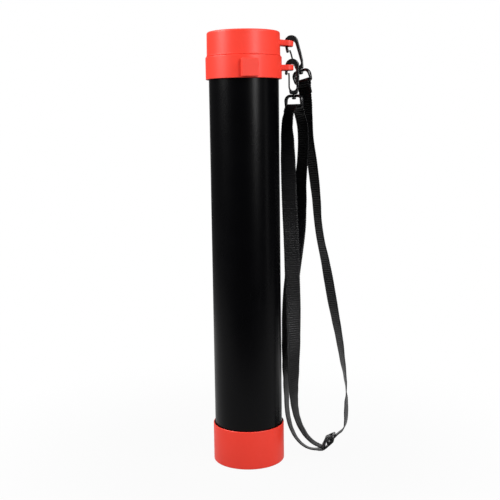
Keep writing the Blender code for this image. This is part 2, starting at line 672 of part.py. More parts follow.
def build_stem():
    """The swivel stem under the hook, with the domed head that carries the eye."""
    head_bottom = STEM_HEAD_TOP - STEM_HEAD
    outline = [
        (0, STEM_ROOT - BODY_BOTTOM),
        (STEM_RADIUS, STEM_ROOT - BODY_BOTTOM),
        (STEM_RADIUS, STEM_HEAD_TOP),
        (STEM_HEAD_RADIUS, STEM_HEAD_TOP),
        (STEM_HEAD_RADIUS, STEM_HEAD_TOP - STEM_HEAD / 2),
        (STEM_HEAD_RADIUS * STEM_DOME, head_bottom + STEM_HEAD / 10),
        (0, head_bottom),
    ]
    stem = turned(outline, SMALL_ROUND_STEPS, closed=False)
    stem.data.transform(Matrix.Translation((STEM_X, 0, 0)))
    return stem


def hook_mesh():
    hook = plate([hook_outline()], HOOK_THICKNESS, HOOK_EDGE, STAND_UP)
    hook = join(hook, build_stem())
    at_pin = Matrix.Translation((PIN_X, 0, -PIN_DROP)) @ STAND_UP
    slot = cylinder(KNUCKLE_RADIUS + KNUCKLE_ROOM, CHEEK_SLOT, at_pin)
    hole = cylinder(PIN_RADIUS + PIN_GAP, 2 * HOOK_THICKNESS, at_pin, 12)
    return cut(hook, slot, hole)


def gate_mesh():
    """The sprung leaf, in the pin's frame: a knuckle, a tongue and a leaf with a bent tip."""
    back = -GATE_BACK
    front = GATE_THICKNESS - GATE_BACK
    outline = [
        *arc((0, 0), KNUCKLE_RADIUS, 180, 440, 10),
        (front, GATE_FOOT),
        (front, GATE_TIP - GATE_BEND[1]),
        (front - GATE_LIP, GATE_TIP),
        (back - GATE_LIP, GATE_TIP),
        (back - GATE_LIP, GATE_TIP - GATE_BEND[2]),
        (back, GATE_TIP - GATE_BEND[0]),
        (back, GATE_FOOT),
    ]
    gate = plate([outline], GATE_WIDTH, GATE_EDGE, STAND_UP)
    side = (GATE_WIDTH - GATE_TONGUE) / 2
    room = 4 * KNUCKLE_RADIUS
    reach = GATE_TONGUE_TOP + room
    cutters = [cylinder(PIN_RADIUS + PIN_GAP, 2 * GATE_WIDTH, STAND_UP, 12)]
    for way in (-1, 1):
        middle = (0, way * (GATE_TONGUE / 2 + side), GATE_TONGUE_TOP - reach / 2)
        cutters.append(block((2 * room, 2 * side, reach), Matrix.Translation(middle)))
    return cut(gate, *cutters)


def rivet_mesh():
    half = HOOK_THICKNESS / 2 + PIN_GAP
    outline = [
        (0, half + PIN_HEAD),
        (PIN_HEAD_RADIUS * PIN_HEAD_FLAT, half + PIN_HEAD),
        (PIN_HEAD_RADIUS, half),
        (PIN_RADIUS, half),
        (PIN_RADIUS, -half),
        (PIN_HEAD_RADIUS, -half),
        (PIN_HEAD_RADIUS * PIN_HEAD_FLAT, -half - PIN_HEAD),
        (0, -half - PIN_HEAD),
    ]
    rivet = turned(outline, 12, closed=False)
    rivet.data.transform(STAND_UP)
    return rivet


def eye_mesh():
    """The webbing eye, in the swivel's frame: a rounded ring of wire with a bored hub."""
    width = EYE_OPENING + 2 * EYE_WIRE_RADIUS
    middle = (EYE_TOP_BAR + EYE_BAR) / 2
    outline = rounded_rectangle(width, EYE_HEIGHT, EYE_CORNER, 4, (0, middle), EYE_SHOULDER)
    ring = [(x, 0, z) for x, z in outline]
    eye = rod_along(ring, EYE_WIRE_RADIUS, True, 3)
    half = HUB_HEIGHT / 2
    edge = HUB_HEIGHT / 5
    hub = turned([
        (0, EYE_TOP_BAR + half),
        (HUB_RADIUS - edge, EYE_TOP_BAR + half),
        (HUB_RADIUS, EYE_TOP_BAR + half - edge),
        (HUB_RADIUS, EYE_TOP_BAR - half + edge),
        (HUB_RADIUS - edge, EYE_TOP_BAR - half),
        (0, EYE_TOP_BAR - half),
    ], SMALL_ROUND_STEPS, closed=False)
    eye = join(eye, hub)
    bore = cylinder(STEM_RADIUS + STEM_GAP, 4 * HUB_HEIGHT, Matrix.Translation((0, 0, EYE_TOP_BAR)))
    return cut(eye, bore)


def build_hooks():
    """Both snap hooks, each hung from an empty on its pivot at its lug's rim."""
    shapes = {}
    makers = (
        ("body", hook_mesh, "black_hook_plastic"),
        ("gate", gate_mesh, "black_hook_plastic"),
        ("rivet", rivet_mesh, "rivet_steel"),
        ("eye", eye_mesh, "black_hook_plastic"),
    )
    for part, maker, finish_name in makers:
        piece = finish(maker(), "hook_" + part, finish_name)
        shapes[part] = piece.data
        bpy.data.objects.remove(piece)
    places = {
        "body": (0, 0, 0),
        "gate": (PIN_X, 0, -PIN_DROP),
        "rivet": (PIN_X, 0, -PIN_DROP),
        "eye": (STEM_X, 0, 0),
    }
    for letter, pivot, lean, turn in (
        ("a", PIVOT_A, HOOK_A_LEAN, EYE_A_TURN),
        ("b", PIVOT_B, HOOK_B_LEAN, EYE_B_TURN),
    ):
        hanger = add_piece(f"hook_{letter}_pivot", None)
        hanger.location = pivot
        hanger.rotation_euler = (0, -radians(lean), 0)
        for part, mesh in shapes.items():
            piece = add_piece(f"hook_{letter}_{part}", mesh)
            piece.parent = hanger
            piece.location = places[part]
            if part == "eye":
                piece.rotation_euler = (0, 0, -radians(turn))


def eye_frame(pivot, lean, turn):
    """The frame of an eye: x along its bar, y through its opening, z along the swivel."""
    hung = Matrix.Translation(pivot) @ Matrix.Rotation(-radians(lean), 4, "Y")
    return hung @ Matrix.Translation((STEM_X, 0, 0)) @ Matrix.Rotation(-radians(turn), 4, "Z")


def slider_frame():
    """The frame of the slider: x along the webbing, y across it, z away from the sewn loop."""
    turn = Matrix.Rotation(-radians(SLIDER_TILT), 4, "Y") @ Matrix.Rotation(radians(SLIDER_ROLL), 4, "X")
    return Matrix.Translation(SLIDER_PLACE) @ turn


def build_slider():
    """A three-bar slider whose frame is bowed, with its middle bar under the rails."""
    length = SLIDER_SPAN + SLIDER_BAR_WIDTH
    inside = WEB_WIDTH + 2 * SLIDER_SIDE_ROOM
    outer = rounded_rectangle(length, inside + 2 * SLIDER_RAIL, SLIDER_CORNER, 4)
    opening = rounded_rectangle(SLIDER_SPAN - SLIDER_BAR_WIDTH, inside, SLIDER_EDGE, 2)
    frame = plate([outer, opening], SLIDER_THICKNESS, SLIDER_EDGE)
    shape = bmesh.new()
    shape.from_mesh(frame.data)
    for number in range(1, SLIDER_BOW_STEPS):
        cut_at = (-length / 2 + length * number / SLIDER_BOW_STEPS, 0, 0)
        geometry = shape.verts[:] + shape.edges[:] + shape.faces[:]
        bmesh.ops.bisect_plane(shape, geom=geometry, dist=WELD, plane_co=cut_at, plane_no=(1, 0, 0))
    for point in shape.verts:
        point.co.z += bow_at(point.co.x)
    bmesh.ops.triangulate(shape, faces=shape.faces)
    shape.to_mesh(frame.data)
    shape.free()
    across = Matrix.Translation((0, 0, SLIDER_BOW - MIDDLE_BAR_DROP)) @ STAND_UP
    bar = cylinder(MIDDLE_BAR_RADIUS, inside + SLIDER_RAIL, across, 12)
    slider = finish(join(frame, bar), "strap_slider", "black_hook_plastic")
    slider.matrix_world = slider_frame()


def bow_at(along):
    """How far the slider's rails rise at a distance from its middle."""
    return SLIDER_BOW * cos(min(1.0, abs(along) / (SLIDER_SPAN / 2)) * pi / 2) ** 1.5


def station(frame, point, across):
    """One station of webbing: its place and its width direction, given in a frame."""
    return frame @ Vector(point), (frame.to_3x3() @ Vector(across)).normalized()


def fold(frame, axis, centre, radius, start, end, steps, across):
    """Stations of webbing round a bar, in a frame's XZ plane or, for axis X, its YZ plane."""
    stations = []
    for along, height in arc(centre, radius, start, end, steps):
        point = (0, along, height) if axis == "X" else (along, 0, height)
        stations.append(station(frame, point, across))
    return stations


def strand(rows, start, end):
    """Hand-laid stations of a strand, moved at its ends to the hardware that it meets."""
    stations = []
    for x, y, z, heading, rise in rows:
        flat = cos(radians(rise))
        across = Vector((
            cos(radians(heading)) * flat,
            sin(radians(heading)) * flat,
            sin(radians(rise)),
        ))
        stations.append((Vector((x, y, z)) * MM, across))
    last = len(stations) - 1
    return [
        (place + start * (1 - number / last) + end * (number / last), across)
        for number, (place, across) in enumerate(stations)
    ]


def smooth_route(stations):
    """Stations at most WEB_STEP apart on a smooth curve through the given ones."""
    places = [place for place, _ in stations]
    spans = [(after - before).length for before, after in zip(places, places[1:])]
    slopes = [(places[1] - places[0]) / spans[0]]
    for number in range(1, len(places) - 1):
        before, after = spans[number - 1], spans[number]
        back = (places[number] - places[number - 1]) / before
        ahead = (places[number + 1] - places[number]) / after
        slopes.append((back * after + ahead * before) / (before + after))
    slopes.append((places[-1] - places[-2]) / spans[-1])
    route = []
    for number, span in enumerate(spans):
        pieces = max(1, round(span / WEB_STEP + 0.3))
        for piece in range(pieces):
            t = piece / pieces
            place = (
                places[number] * (2 * t ** 3 - 3 * t ** 2 + 1)
                + slopes[number] * span * (t ** 3 - 2 * t ** 2 + t)
                + places[number + 1] * (3 * t ** 2 - 2 * t ** 3)
                + slopes[number + 1] * span * (t ** 3 - t ** 2)
            )
            route.append((place, stations[number][1].lerp(stations[number + 1][1], t)))
    route.append(stations[-1])
    return route


def squared(route):
    """The route with each width direction made square to the webbing's run."""
    result = []
    for number, (place, across) in enumerate(route):
        before = route[max(0, number - 1)][0]
        after = route[min(len(route) - 1, number + 1)][0]
        run = (after - before).normalized()
        result.append((place, (across - run * across.dot(run)).normalized()))
    return result


def strap_stations():
    """The one ribbon: sewn round eye A, through the slider, round eye B, sewn to the slider."""
    eye_a = eye_frame(PIVOT_A, HOOK_A_LEAN, EYE_A_TURN)
    eye_b = eye_frame(PIVOT_B, HOOK_B_LEAN, EYE_B_TURN)
    slider = slider_frame()
    shift_a = eye_a @ Vector((0, 0, EYE_BAR)) - ROUTE_EYE_A
    shift_b = eye_b @ Vector((0, 0, EYE_BAR)) - ROUTE_EYE_B
    shift_slider = Vector(SLIDER_PLACE) - ROUTE_SLIDER
    near = (1, 0, 0)
    layer = LAYER_STEP / 2
    tail_middle = EYE_BAR - TAIL_LENGTH / 2
    tail = [
        station(eye_a, (-TAIL_DRIFT, layer, EYE_BAR - TAIL_LENGTH), near),
        station(eye_a, (-TAIL_DRIFT / 2, layer, tail_middle), near),
    ]
    round_eye_a = fold(eye_a, "X", (0, EYE_BAR), EYE_FOLD_RADIUS, -20, 200, 9, near)
    after_eye_a = [station(eye_a, (-TAIL_DRIFT / 2, -layer, tail_middle), near)]
    return (
        tail + round_eye_a + after_eye_a + strand(STRAND_A, shift_a, shift_slider)
        + through_slider(slider) + strand(STRAND_L, shift_slider, shift_b)
        + round_eye_b(eye_b) + strand(STRAND_R, shift_b, shift_slider) + sewn_end(slider)
    )


def round_eye_b(eye):
    """The loose arch that the webbing makes over eye B's bar, turning a little on its way."""
    return [
        station(eye, (0, y * MM, EYE_BAR + z * MM), (-1, turn, 0))
        for y, z, turn in ARCH_B
    ]


def through_slider(slider):
    """Under one end bar, over the middle bar and the sewn loop, under the other end bar."""
    end = SLIDER_SPAN / 2
    middle = (0, SLIDER_BOW - MIDDLE_BAR_DROP)
    near = (0, -1, 0)
    return [
        *fold(slider, "Y", (end, 0), END_FOLD_RADIUS, -70, -130, 2, near),
        *fold(slider, "Y", middle, OVER_FOLD_RADIUS, 50, 130, 4, near),
        *fold(slider, "Y", (-end, 0), END_FOLD_RADIUS, -50, -180, 5, near),
    ]


def sewn_end(slider):
    """The ribbon's last end: under the slider, up round its middle bar and inside its own loop."""
    near = (0, -1, 0)
    middle = (0, SLIDER_BOW - MIDDLE_BAR_DROP)
    return [
        *[station(slider, (x * MM, 0, z * MM), near) for x, z in SEWN_WAY_IN],
        *fold(slider, "Y", middle, SEWN_FOLD_RADIUS, -30, 195, 7, near),
        *[station(slider, (x * MM, 0, z * MM), near) for x, z in SEWN_WAY_BACK],
    ]


def build_strap():
    """The ribbon is a strip laid through its stations, and gets its thickness last."""
    mesh = bpy.data.meshes.new("strap")
    shape = bmesh.new()
    rows = []
    for place, across in squared(smooth_route(strap_stations())):
        half = across * (WEB_WIDTH / 2)
        rows.append((shape.verts.new(place - half), shape.verts.new(place + half)))
    for (left, right), (next_left, next_right) in zip(rows, rows[1:]):
        shape.faces.new((left, right, next_right, next_left))
    shape.to_mesh(mesh)
    shape.free()
    strap = add_piece("strap", mesh)
    body = strap.modifiers.new("Thickness", "SOLIDIFY")
    body.thickness = WEB_THICKNESS
    body.offset = 0
    body.use_even_offset = True
    finish(worked(strap), "shoulder_strap", "black_webbing")


build_tube()
build_base_cap()
build_ring()
build_fingers()
build_collar()
build_lid()
build_hooks()
build_slider()
build_strap()
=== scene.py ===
"""The looks of a pickleball pickup tube: red end shells, black tube, sprung mouth, hooks and strap."""
from math import acos, cos, degrees, pi, radians, sin

import bmesh
import bpy
from mathutils import Matrix, Vector


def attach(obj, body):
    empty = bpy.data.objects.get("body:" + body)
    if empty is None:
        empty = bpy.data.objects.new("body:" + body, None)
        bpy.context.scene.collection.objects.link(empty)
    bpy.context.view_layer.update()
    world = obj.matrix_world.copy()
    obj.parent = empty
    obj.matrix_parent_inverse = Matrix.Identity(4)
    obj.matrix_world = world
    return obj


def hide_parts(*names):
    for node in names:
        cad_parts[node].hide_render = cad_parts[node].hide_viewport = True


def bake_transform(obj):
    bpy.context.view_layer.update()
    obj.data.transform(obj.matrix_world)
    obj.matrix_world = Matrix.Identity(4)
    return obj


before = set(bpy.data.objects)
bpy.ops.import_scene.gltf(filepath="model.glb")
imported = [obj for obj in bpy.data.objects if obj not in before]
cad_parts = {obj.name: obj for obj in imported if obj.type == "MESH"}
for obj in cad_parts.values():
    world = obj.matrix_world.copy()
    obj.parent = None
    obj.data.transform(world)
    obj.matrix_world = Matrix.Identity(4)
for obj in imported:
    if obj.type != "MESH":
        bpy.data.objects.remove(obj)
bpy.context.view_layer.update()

MM = 0.001

# Clearances and smoothness
SEAT_GAP = 0.3 * MM
PIN_GAP = 0.34 * MM
STEM_GAP = 0.4 * MM
ROUND_STEPS = 160
SMALL_ROUND_STEPS = 40
PIN_STEPS = 28
HOLE_STEPS = 24
DOME_STEPS = 5
WELD = 0.00001
SHARP_ANGLE = radians(34)
FLAT_ANGLE = radians(0.1)
STAND_UP = Matrix.Rotation(radians(90), 4, "X")

# Tube, base cap, ring and fingers
BORE_RADIUS = 39.0 * MM
TUBE_RADIUS = 41.6 * MM
TUBE_EDGE = 0.35 * MM
TUBE_BOTTOM = 31.3 * MM
TUBE_TOP = 489.7 * MM
SOCKET_RADIUS = 41.9 * MM
BASE_RADIUS = 43.85 * MM
BASE_HEIGHT = 47.2 * MM
BASE_FOOT_FILLET = 1.0 * MM
BASE_RIM_FILLET = 0.8 * MM
BASE_LEDGE = 3.0 * MM
BASE_LEAD_IN = (1.15 * MM, 1.3 * MM)
MOUTH_RADIUS = 38.2 * MM
MOUTH_LEAD_IN = 1.0 * MM
SOCKET_LEAD_IN = 0.5 * MM
RING_BOTTOM = 3.3 * MM
RING_TOP = 31.0 * MM
RING_RADIUS = 41.6 * MM
RING_WALL = 1.6 * MM
RING_FLANGE = 3.0 * MM
RING_EDGE = 0.25 * MM
FINGER_COUNT = 6
FINGER_FIRST_ANGLE = 30.0
HINGE_RADIUS = 38.9 * MM
HINGE_HEIGHT = 8.15 * MM
FINGER_HINGE_RISE = 1.4 * MM
FINGER_LENGTH = 21.0 * MM
FINGER_THICKNESS = 1.5 * MM
FINGER_EDGE = 0.3 * MM
FINGER_EDGE_ANGLE = radians(50)
FINGER_LEAN = 2.55 * MM
FINGER_TIP_ROUND = 2.6 * MM
FINGER_TIP_POWER = 6
FINGER_LIP = 0.5 * MM
FINGER_LIP_START = 0.85
FINGER_ROWS = 36
FINGER_COLUMNS = 16
FINGER_HALF_ANGLES = ((0.0, 6.0), (0.16, 6.0), (0.36, 14.5), (0.62, 17.0), (0.85, 15.0), (1.0, 11.0))

# Collar and lid
COLLAR_RADIUS = 45.15 * MM
COLLAR_BOTTOM = 467.2 * MM
COLLAR_LEDGE = 490.0 * MM
SHOULDER_TOP = 493.2 * MM
COLLAR_FILLET = 0.9 * MM
COLLAR_FOOT_EDGE = 0.5 * MM
NECK_RADIUS = 41.0 * MM
NECK_TOP = 507.5 * MM
NECK_EDGE = 0.6 * MM
PAD_WIDTH = 19.2 * MM
PAD_HEIGHT = 20.4 * MM
PAD_PROUD = 4.4 * MM
PAD_DRAFT = 0.7 * MM
PAD_ROOT_DEPTH = 1.65 * MM
PAD_ANGLE = 8.9
PAD_MIDDLE = 11.5 * MM
PAD_FACE_EDGE = 0.55 * MM
PAD_SIDE_EDGE = 0.8 * MM
LID_BOTTOM = 493.5 * MM
LID_TOP = 522.0 * MM
LID_ROOF = 2.2 * MM
LID_RADIUS = 43.85 * MM
LID_SKIRT_RADIUS = 41.9 * MM
LID_DRAFT = 0.6 * MM
LID_FILLET = 2.4 * MM
LID_BEAD = 1.4 * MM
LID_BEAD_PROUD = 0.35 * MM
LID_EDGE = 0.2 * MM
LID_SEAM = 0.5 * MM
GRIP_RIB_COUNT = 8
GRIP_RIB_WIDTH = 1.6 * MM
GRIP_RIB_DEPTH = 1.525 * MM
GRIP_RIB_INNER = 41.35 * MM
GRIP_RIB_START = 2.0 * MM
GRIP_RIB_HEIGHT = 9.0 * MM

# Lugs
LUG_REACH = 13.75 * MM
LUG_WIDTH = 20.0 * MM
LUG_THICKNESS = 6.4 * MM
LUG_CORNER = 7.0 * MM
LUG_EDGE = 1.0 * MM
LUG_HOLE_CENTRE = 5.65 * MM
LUG_HOLE_DEPTH = 8.0 * MM
LUG_HOLE_WIDTH = 12.5 * MM
LUG_HOLE_CORNER = 2.5 * MM
COLLAR_LUG_ROOT = 1.9 * MM
COLLAR_LUG_HEIGHT = 480.1 * MM
LID_LUG_ROOT = 3.05 * MM
LID_LUG_HEIGHT = 508.9 * MM
LID_LUG_DROOP = 6.0
LID_LUG_FRAME = (
    Matrix.Translation((COLLAR_RADIUS, 0, LID_LUG_HEIGHT)) @ Matrix.Rotation(radians(LID_LUG_DROOP), 4, "Y")
)

# Snap hooks, in their own frame: the pivot is the middle of the lug's rim
HOOK_PLANE = 3.0 * MM
RIM_REACH = 11.7 * MM
PIVOT_A = LID_LUG_FRAME @ Vector((RIM_REACH, 0, 0)) + Vector((0, HOOK_PLANE, 0))
PIVOT_B = Vector((COLLAR_RADIUS + RIM_REACH, -HOOK_PLANE, COLLAR_LUG_HEIGHT))
# The pivot of each hook, its lean and its eye's turn
HOOKS = {"a": (PIVOT_A, 15.0, 42.0), "b": (PIVOT_B, 0.0, 40.0)}
HOOK_THICKNESS = 4.6 * MM
HOOK_EDGE = 1.3 * MM
ARCH_CENTRE = (0.6 * MM, 2.1 * MM)
ARCH_RADIUS = 8.25 * MM
THROAT_RADIUS = 4.85 * MM
THROAT_DROP = 1.1 * MM
NOSE_LENGTH = 8.6 * MM
NOSE_HALF = 1.7 * MM
SPINE_INNER_LOW = 5.25 * MM
SLOT_BOTTOM = 26.7 * MM
SLOT_CORNER = 4.0 * MM
BODY_BOTTOM = 31.0 * MM
BODY_BOTTOM_LEFT = -1.4 * MM
BODY_BOTTOM_RIGHT = 5.4 * MM
BODY_FOOT_CORNER = 1.4 * MM
SPINE_LOW = (1.3 * MM, 4.9 * MM)
SPINE_HIGH = (0.4 * MM, 9.5 * MM)
SPINE_TOP = -12.0 * MM
CHEEK_RADIUS = 1.9 * MM
CHEEK_SLOT = 2.5 * MM
PIN_X = -1.45 * MM
PIN_DROP = 27.5 * MM
PIN_RADIUS = 0.7 * MM
PIN_HEAD_RADIUS = 1.35 * MM
PIN_HEAD = 0.4 * MM
GATE_THICKNESS = 1.75 * MM
GATE_WIDTH = 4.0 * MM
GATE_TONGUE = 1.8 * MM
GATE_TONGUE_TOP = 2.5 * MM
GATE_TIP = 21.2 * MM
GATE_LIP = 0.3 * MM
GATE_EDGE = 0.3 * MM
GATE_FOOT = 4.5 * MM
GATE_BEND = (3.6 * MM, 2.7 * MM, 1.5 * MM)
GATE_BACK = 2.75 * MM
KNUCKLE_RADIUS = 1.5 * MM
KNUCKLE_ROOM = 0.55 * MM
GATE_ROOM = 4 * KNUCKLE_RADIUS
STEM_X = 2.35 * MM
STEM_RADIUS = 1.5 * MM
STEM_ROOT = 1.6 * MM
STEM_HEAD_RADIUS = 2.5 * MM
STEM_HEAD = 2.2 * MM
HUB_RADIUS = 3.4 * MM
HUB_HEIGHT = 3.4 * MM
HUB_EDGE = HUB_HEIGHT / 5
HUB_TOP = -BODY_BOTTOM - SEAT_GAP
STEM_HEAD_TOP = HUB_TOP - HUB_HEIGHT - SEAT_GAP
EYE_TOP_BAR = HUB_TOP - HUB_HEIGHT / 2
EYE_WIRE_RADIUS = 1.7 * MM
EYE_OPENING = 20.4 * MM
EYE_HEIGHT = 13.0 * MM
EYE_BAR = EYE_TOP_BAR - EYE_HEIGHT
EYE_SHOULDER = 6.0 * MM
EYE_CORNER = 2.2 * MM
EYE_LIMB_DEPTH = 1.6
EYE_LIMB_FROM = (2.6 * MM, 4.2 * MM)
EYE_HUB_ROOM = (4.0 * MM, 8.0 * MM)

# Slider
SLIDER_PLACE = (99.9 * MM, 0.0, 20.3 * MM)
SLIDER_TILT = 44.5
SLIDER_ROLL = -12.4
SLIDER_SPAN = 19.4 * MM
SLIDER_BAR_WIDTH = 3.0 * MM
SLIDER_RAIL = 2.8 * MM
SLIDER_THICKNESS = 3.0 * MM
SLIDER_EDGE = 1.2 * MM
SLIDER_CORNER = 4.0 * MM
SLIDER_BOW_STEPS = 28
SLIDER_BOW = 2.4 * MM
SLIDER_BOW_POWER = 1.5
SLIDER_INSIDE = 20.4 * MM
MIDDLE_BAR_RADIUS = 1.3 * MM
MIDDLE_BAR_RISE = 0.4 * MM

# Webbing
WEB_WIDTH = 19.0 * MM
WEB_THICKNESS = 1.3 * MM
WEB_GAP = 0.34 * MM
END_BAR_GAP = 0.55 * MM
LAYER_STEP = WEB_THICKNESS + WEB_GAP
TAIL_LENGTH = 14.0 * MM
TAIL_DRIFT = 1.6 * MM
EYE_FOLD_RADIUS = EYE_WIRE_RADIUS + WEB_GAP + WEB_THICKNESS / 2
END_FOLD_RADIUS = SLIDER_BAR_WIDTH / 2 + END_BAR_GAP + WEB_THICKNESS / 2
SEWN_FOLD_RADIUS = MIDDLE_BAR_RADIUS + WEB_GAP + WEB_THICKNESS / 2
OVER_FOLD_RADIUS = SEWN_FOLD_RADIUS + LAYER_STEP
RIB_PITCH = 2.8 * MM
RIB_STEPS = 6
EDGE_RIB_SHARE = 0.3
ROUTE_STEP = 0.3 * MM
RUN_REACH = 2
RIB_DEPTH = 0.32 * MM
EDGE_SCALLOP = 0.5 * MM
FACE_COLUMNS = 8
EDGE_COLUMNS = 3
THREAD_RADIUS = 0.2 * MM
TACK_WIDTH = 15.0 * MM
TACK_REACH = 0.9 * MM
TACK_TURNS = 20
EYE_TACKS = (8.2 * MM, 12.2 * MM)
SLIDER_TACK = (2.2 * MM, -5.55 * MM, -2.7 * MM)

# The strap's route, in millimetres: x, y, z, the heading of its width, its rise.
# Strand A hangs from eye A to the slider.
STRAND_A = (
    (73.6, 4.6, 443.0, -44, 4), (74.8, 8.2, 425.8, -46, 0), (77.0, 9.0, 394.7, -51, 0),
    (80.9, 8.5, 370.6, -54, 0), (83.9, 8.0, 346.4, -56, 0), (86.3, 7.5, 322.1, -61, 0),
    (87.9, 7.0, 297.6, -65, 0), (91.3, 6.5, 273.0, -64, 0), (96.5, 6.0, 248.2, -60, 0),
    (100.9, 5.5, 223.3, -56, 0), (105.1, 5.0, 198.2, -56, 0), (109.7, 4.5, 173.0, -61, 0),
    (114.2, 4.0, 147.7, -67, 0), (117.8, 3.5, 122.2, -75, 0), (121.2, 3.0, 98.6, -86, 0),
    (122.4, 2.7, 83.0, -95, 0), (122.4, 2.3, 69.3, -108, 0), (122.3, 2.0, 56.4, -111, 0),
    (122.0, 1.6, 45.5, -109, 2), (120.3, 1.2, 36.8, -105, 5), (117.0, 0.9, 32.0, -101, 8),
    (112.6, 0.6, 28.6, -99, 10),
)
# Strand L rises from the slider to eye B, in front.
STRAND_L = (
    (87.2, 0.0, 13.7, -99, 9), (82.0, 0.0, 16.7, -99, 7), (75.9, 0.0, 22.0, -100, 5),
    (67.9, 0.0, 33.2, -105, 2), (61.9, -1.0, 47.0, -110, 0), (58.7, -2.0, 60.4, -116, 0),
    (57.1, -3.0, 73.6, -123, 0), (56.5, -3.5, 86.7, -130, 0), (56.4, -4.5, 112.6, -142, 0),
    (56.7, -6.0, 151.0, -156, 0), (56.3, -7.0, 201.3, -172, 0), (55.6, -7.5, 226.2, -178, 0),
    (54.4, -8.0, 275.4, -181, 0), (53.0, -8.0, 311.8, -187, 0), (52.1, -8.2, 340.0, -192, 0),
    (51.4, -8.5, 368.0, -200, 0), (50.9, -8.8, 393.0, -214, 0), (50.5, -9.4, 413.0, -228, 0),
)
# Strand R falls from eye B to the slider, behind.
STRAND_R = (
    (69.0, 5.0, 415.0, -230, 0), (70.3, 5.8, 394.9, -232, 0), (69.4, 6.4, 370.9, -231, 0),
    (67.3, 7.0, 346.7, -225, 0), (65.9, 7.4, 316.0, -210, 0), (64.0, 7.5, 285.6, -198, 0),
    (60.8, 7.5, 260.9, -188, 0), (57.3, 7.5, 236.1, -182, 0), (54.2, 7.5, 211.1, -180, 0),
    (52.3, 7.0, 183.0, -176, 0), (51.2, 6.5, 147.0, -162, 0), (49.8, 6.0, 120.0, -140, 0),
    (48.5, 5.4, 97.0, -121, 0), (48.0, 4.8, 76.0, -110, 0), (48.6, 4.0, 58.5, -107, 0),
    (50.8, 3.0, 44.8, -105, 3), (54.8, 2.0, 32.4, -102, 8), (61.8, 1.0, 20.4, -99, 12),
    (68.5, 0.5, 13.8, -98, 14), (75.4, 0.0, 10.0, -98, 15), (82.8, 0.0, 8.4, -98, 14),
)
# The loose arch over eye B's bar: y and z from the bar in millimetres, and the width's turn.
ARCH_B = (
    (-10.6, -7.6, 0.24), (-8.6, -2.9, 0.14), (-4.6, 1.25, 0.04), (0.0, 2.85, 0.0),
    (4.6, 1.25, 0.04), (8.2, -2.9, 0.14), (10.4, -7.9, 0.24),
)
# The sewn end in the slider's frame, x and z in millimetres
SEWN_WAY_IN = (
    (-16.1, -0.9), (-12.5, -3.7), (-9.3, -4.45), (-4.6, -4.75), (0.5, -5.0), (4.4, -4.75), (6.0, -3.5),
    (5.2, -1.9),
)
SEWN_WAY_BACK = ((-3.15, -1.75), (-3.75, -2.65), (-3.1, -3.3), (-1.0, -3.4), (3.4, -3.3))
# Where the route expects the middle of each eye's bar, and the slider
ROUTE_EYE_A = Vector((70.9, 3.0, 464.0)) * MM
ROUTE_EYE_B = Vector((59.2, -3.0, 434.1)) * MM
ROUTE_SLIDER = Vector((99.9, 0.0, 20.3)) * MM

# Each length of strap: its name, the run and the row in it where it ends, the bodies it
# follows, and the points in millimetres between which it turns from one to the other
STRAP_LENGTHS = (
    ("strap_eye_a", "strand_a", 1, ("eye_a", "hook_a"), (72, 3, 449), (75, 8, 427)),
    ("strap_a_upper", "strand_a", 5, ("hook_a", "lid"), (75, 8, 425), (86, 8, 324)),
    ("strap_a_middle", "strand_a", 15, ("lid", "frame"), (86, 8, 321), (122, 3, 85)),
    ("strap_a_low", "strand_a", 21, ("frame", "slider"), (122, 2, 75), (115, 1, 30)),
    ("strap_through", "strand_l", 1, ("slider",), None, None),
    ("strap_l_low", "strand_l", 6, ("slider", "frame"), (80, 0, 18), (58, -3, 70)),
    ("strap_l_main", "strand_l", 14, ("frame",), None, None),
    ("strap_l_upper", "strand_l", 17, ("frame", "hook_b"), (52, -8, 341), (50.5, -9, 411)),
    ("strap_eye_b", "strand_r", 0, ("hook_b", "eye_b"), (59, -3, 416), (59, -3, 431)),
    ("strap_r_upper", "strand_r", 3, ("hook_b", "frame"), (69, 5, 413), (67, 7, 348)),
    ("strap_r_main", "strand_r", 13, ("frame",), None, None),
    ("strap_r_low", "strand_r", 19, ("frame", "slider"), (48, 5, 74), (74, 0, 11)),
    ("strap_sewn", None, None, ("slider",), None, None),
)

# The shared surface of moulded plastics: clouds, orange peel and scratches
CLOUD_NOISE = {"Scale": 28.0, "Detail": 3.0}
PEEL_NOISE = {"Scale": 850.0, "Detail": 2.0}
PEEL_DEPTH = 0.2 * MM
SCRATCH_NOISE = {"Scale": 420.0, "Detail": 4.0, "Roughness": 0.65}
SCRATCH_RUN = {"Scale": (1.0, 1.0, 0.12), "Rotation": (0.4, 0.3, 0.2)}
SCRATCH_SHOWN = {"From Min": 0.6, "From Max": 0.78}

# Each plastic: name, two colours, roughness with its cloud, scuff and peel, bump, specular level
PLASTICS = (
    ("red_shell", (0.88, 0.046, 0.026), (0.94, 0.054, 0.031), (0.42, 0.08, 0.12, 0.5), 0.12, 0.4),
    ("black_tube", (0.0004, 0.0004, 0.0007), (0.001, 0.001, 0.0015), (0.28, 0.08, 0.1, 0.4), 0.08, 0.14),
    ("black_soft_plastic", (0.01, 0.01, 0.011), (0.015, 0.015, 0.016), (0.55, 0.1, 0.1, 0.7), 0.3, 0.4),
    ("black_hook_plastic", (0.004, 0.004, 0.005), (0.007, 0.007, 0.008), (0.24, 0.1, 0.15, 0.5), 0.12, 0.6),
)
STEEL_COLOUR = (0.07, 0.07, 0.075, 1)
STEEL_SURFACE = (0.32, 0.1, 0.2, 0.3)

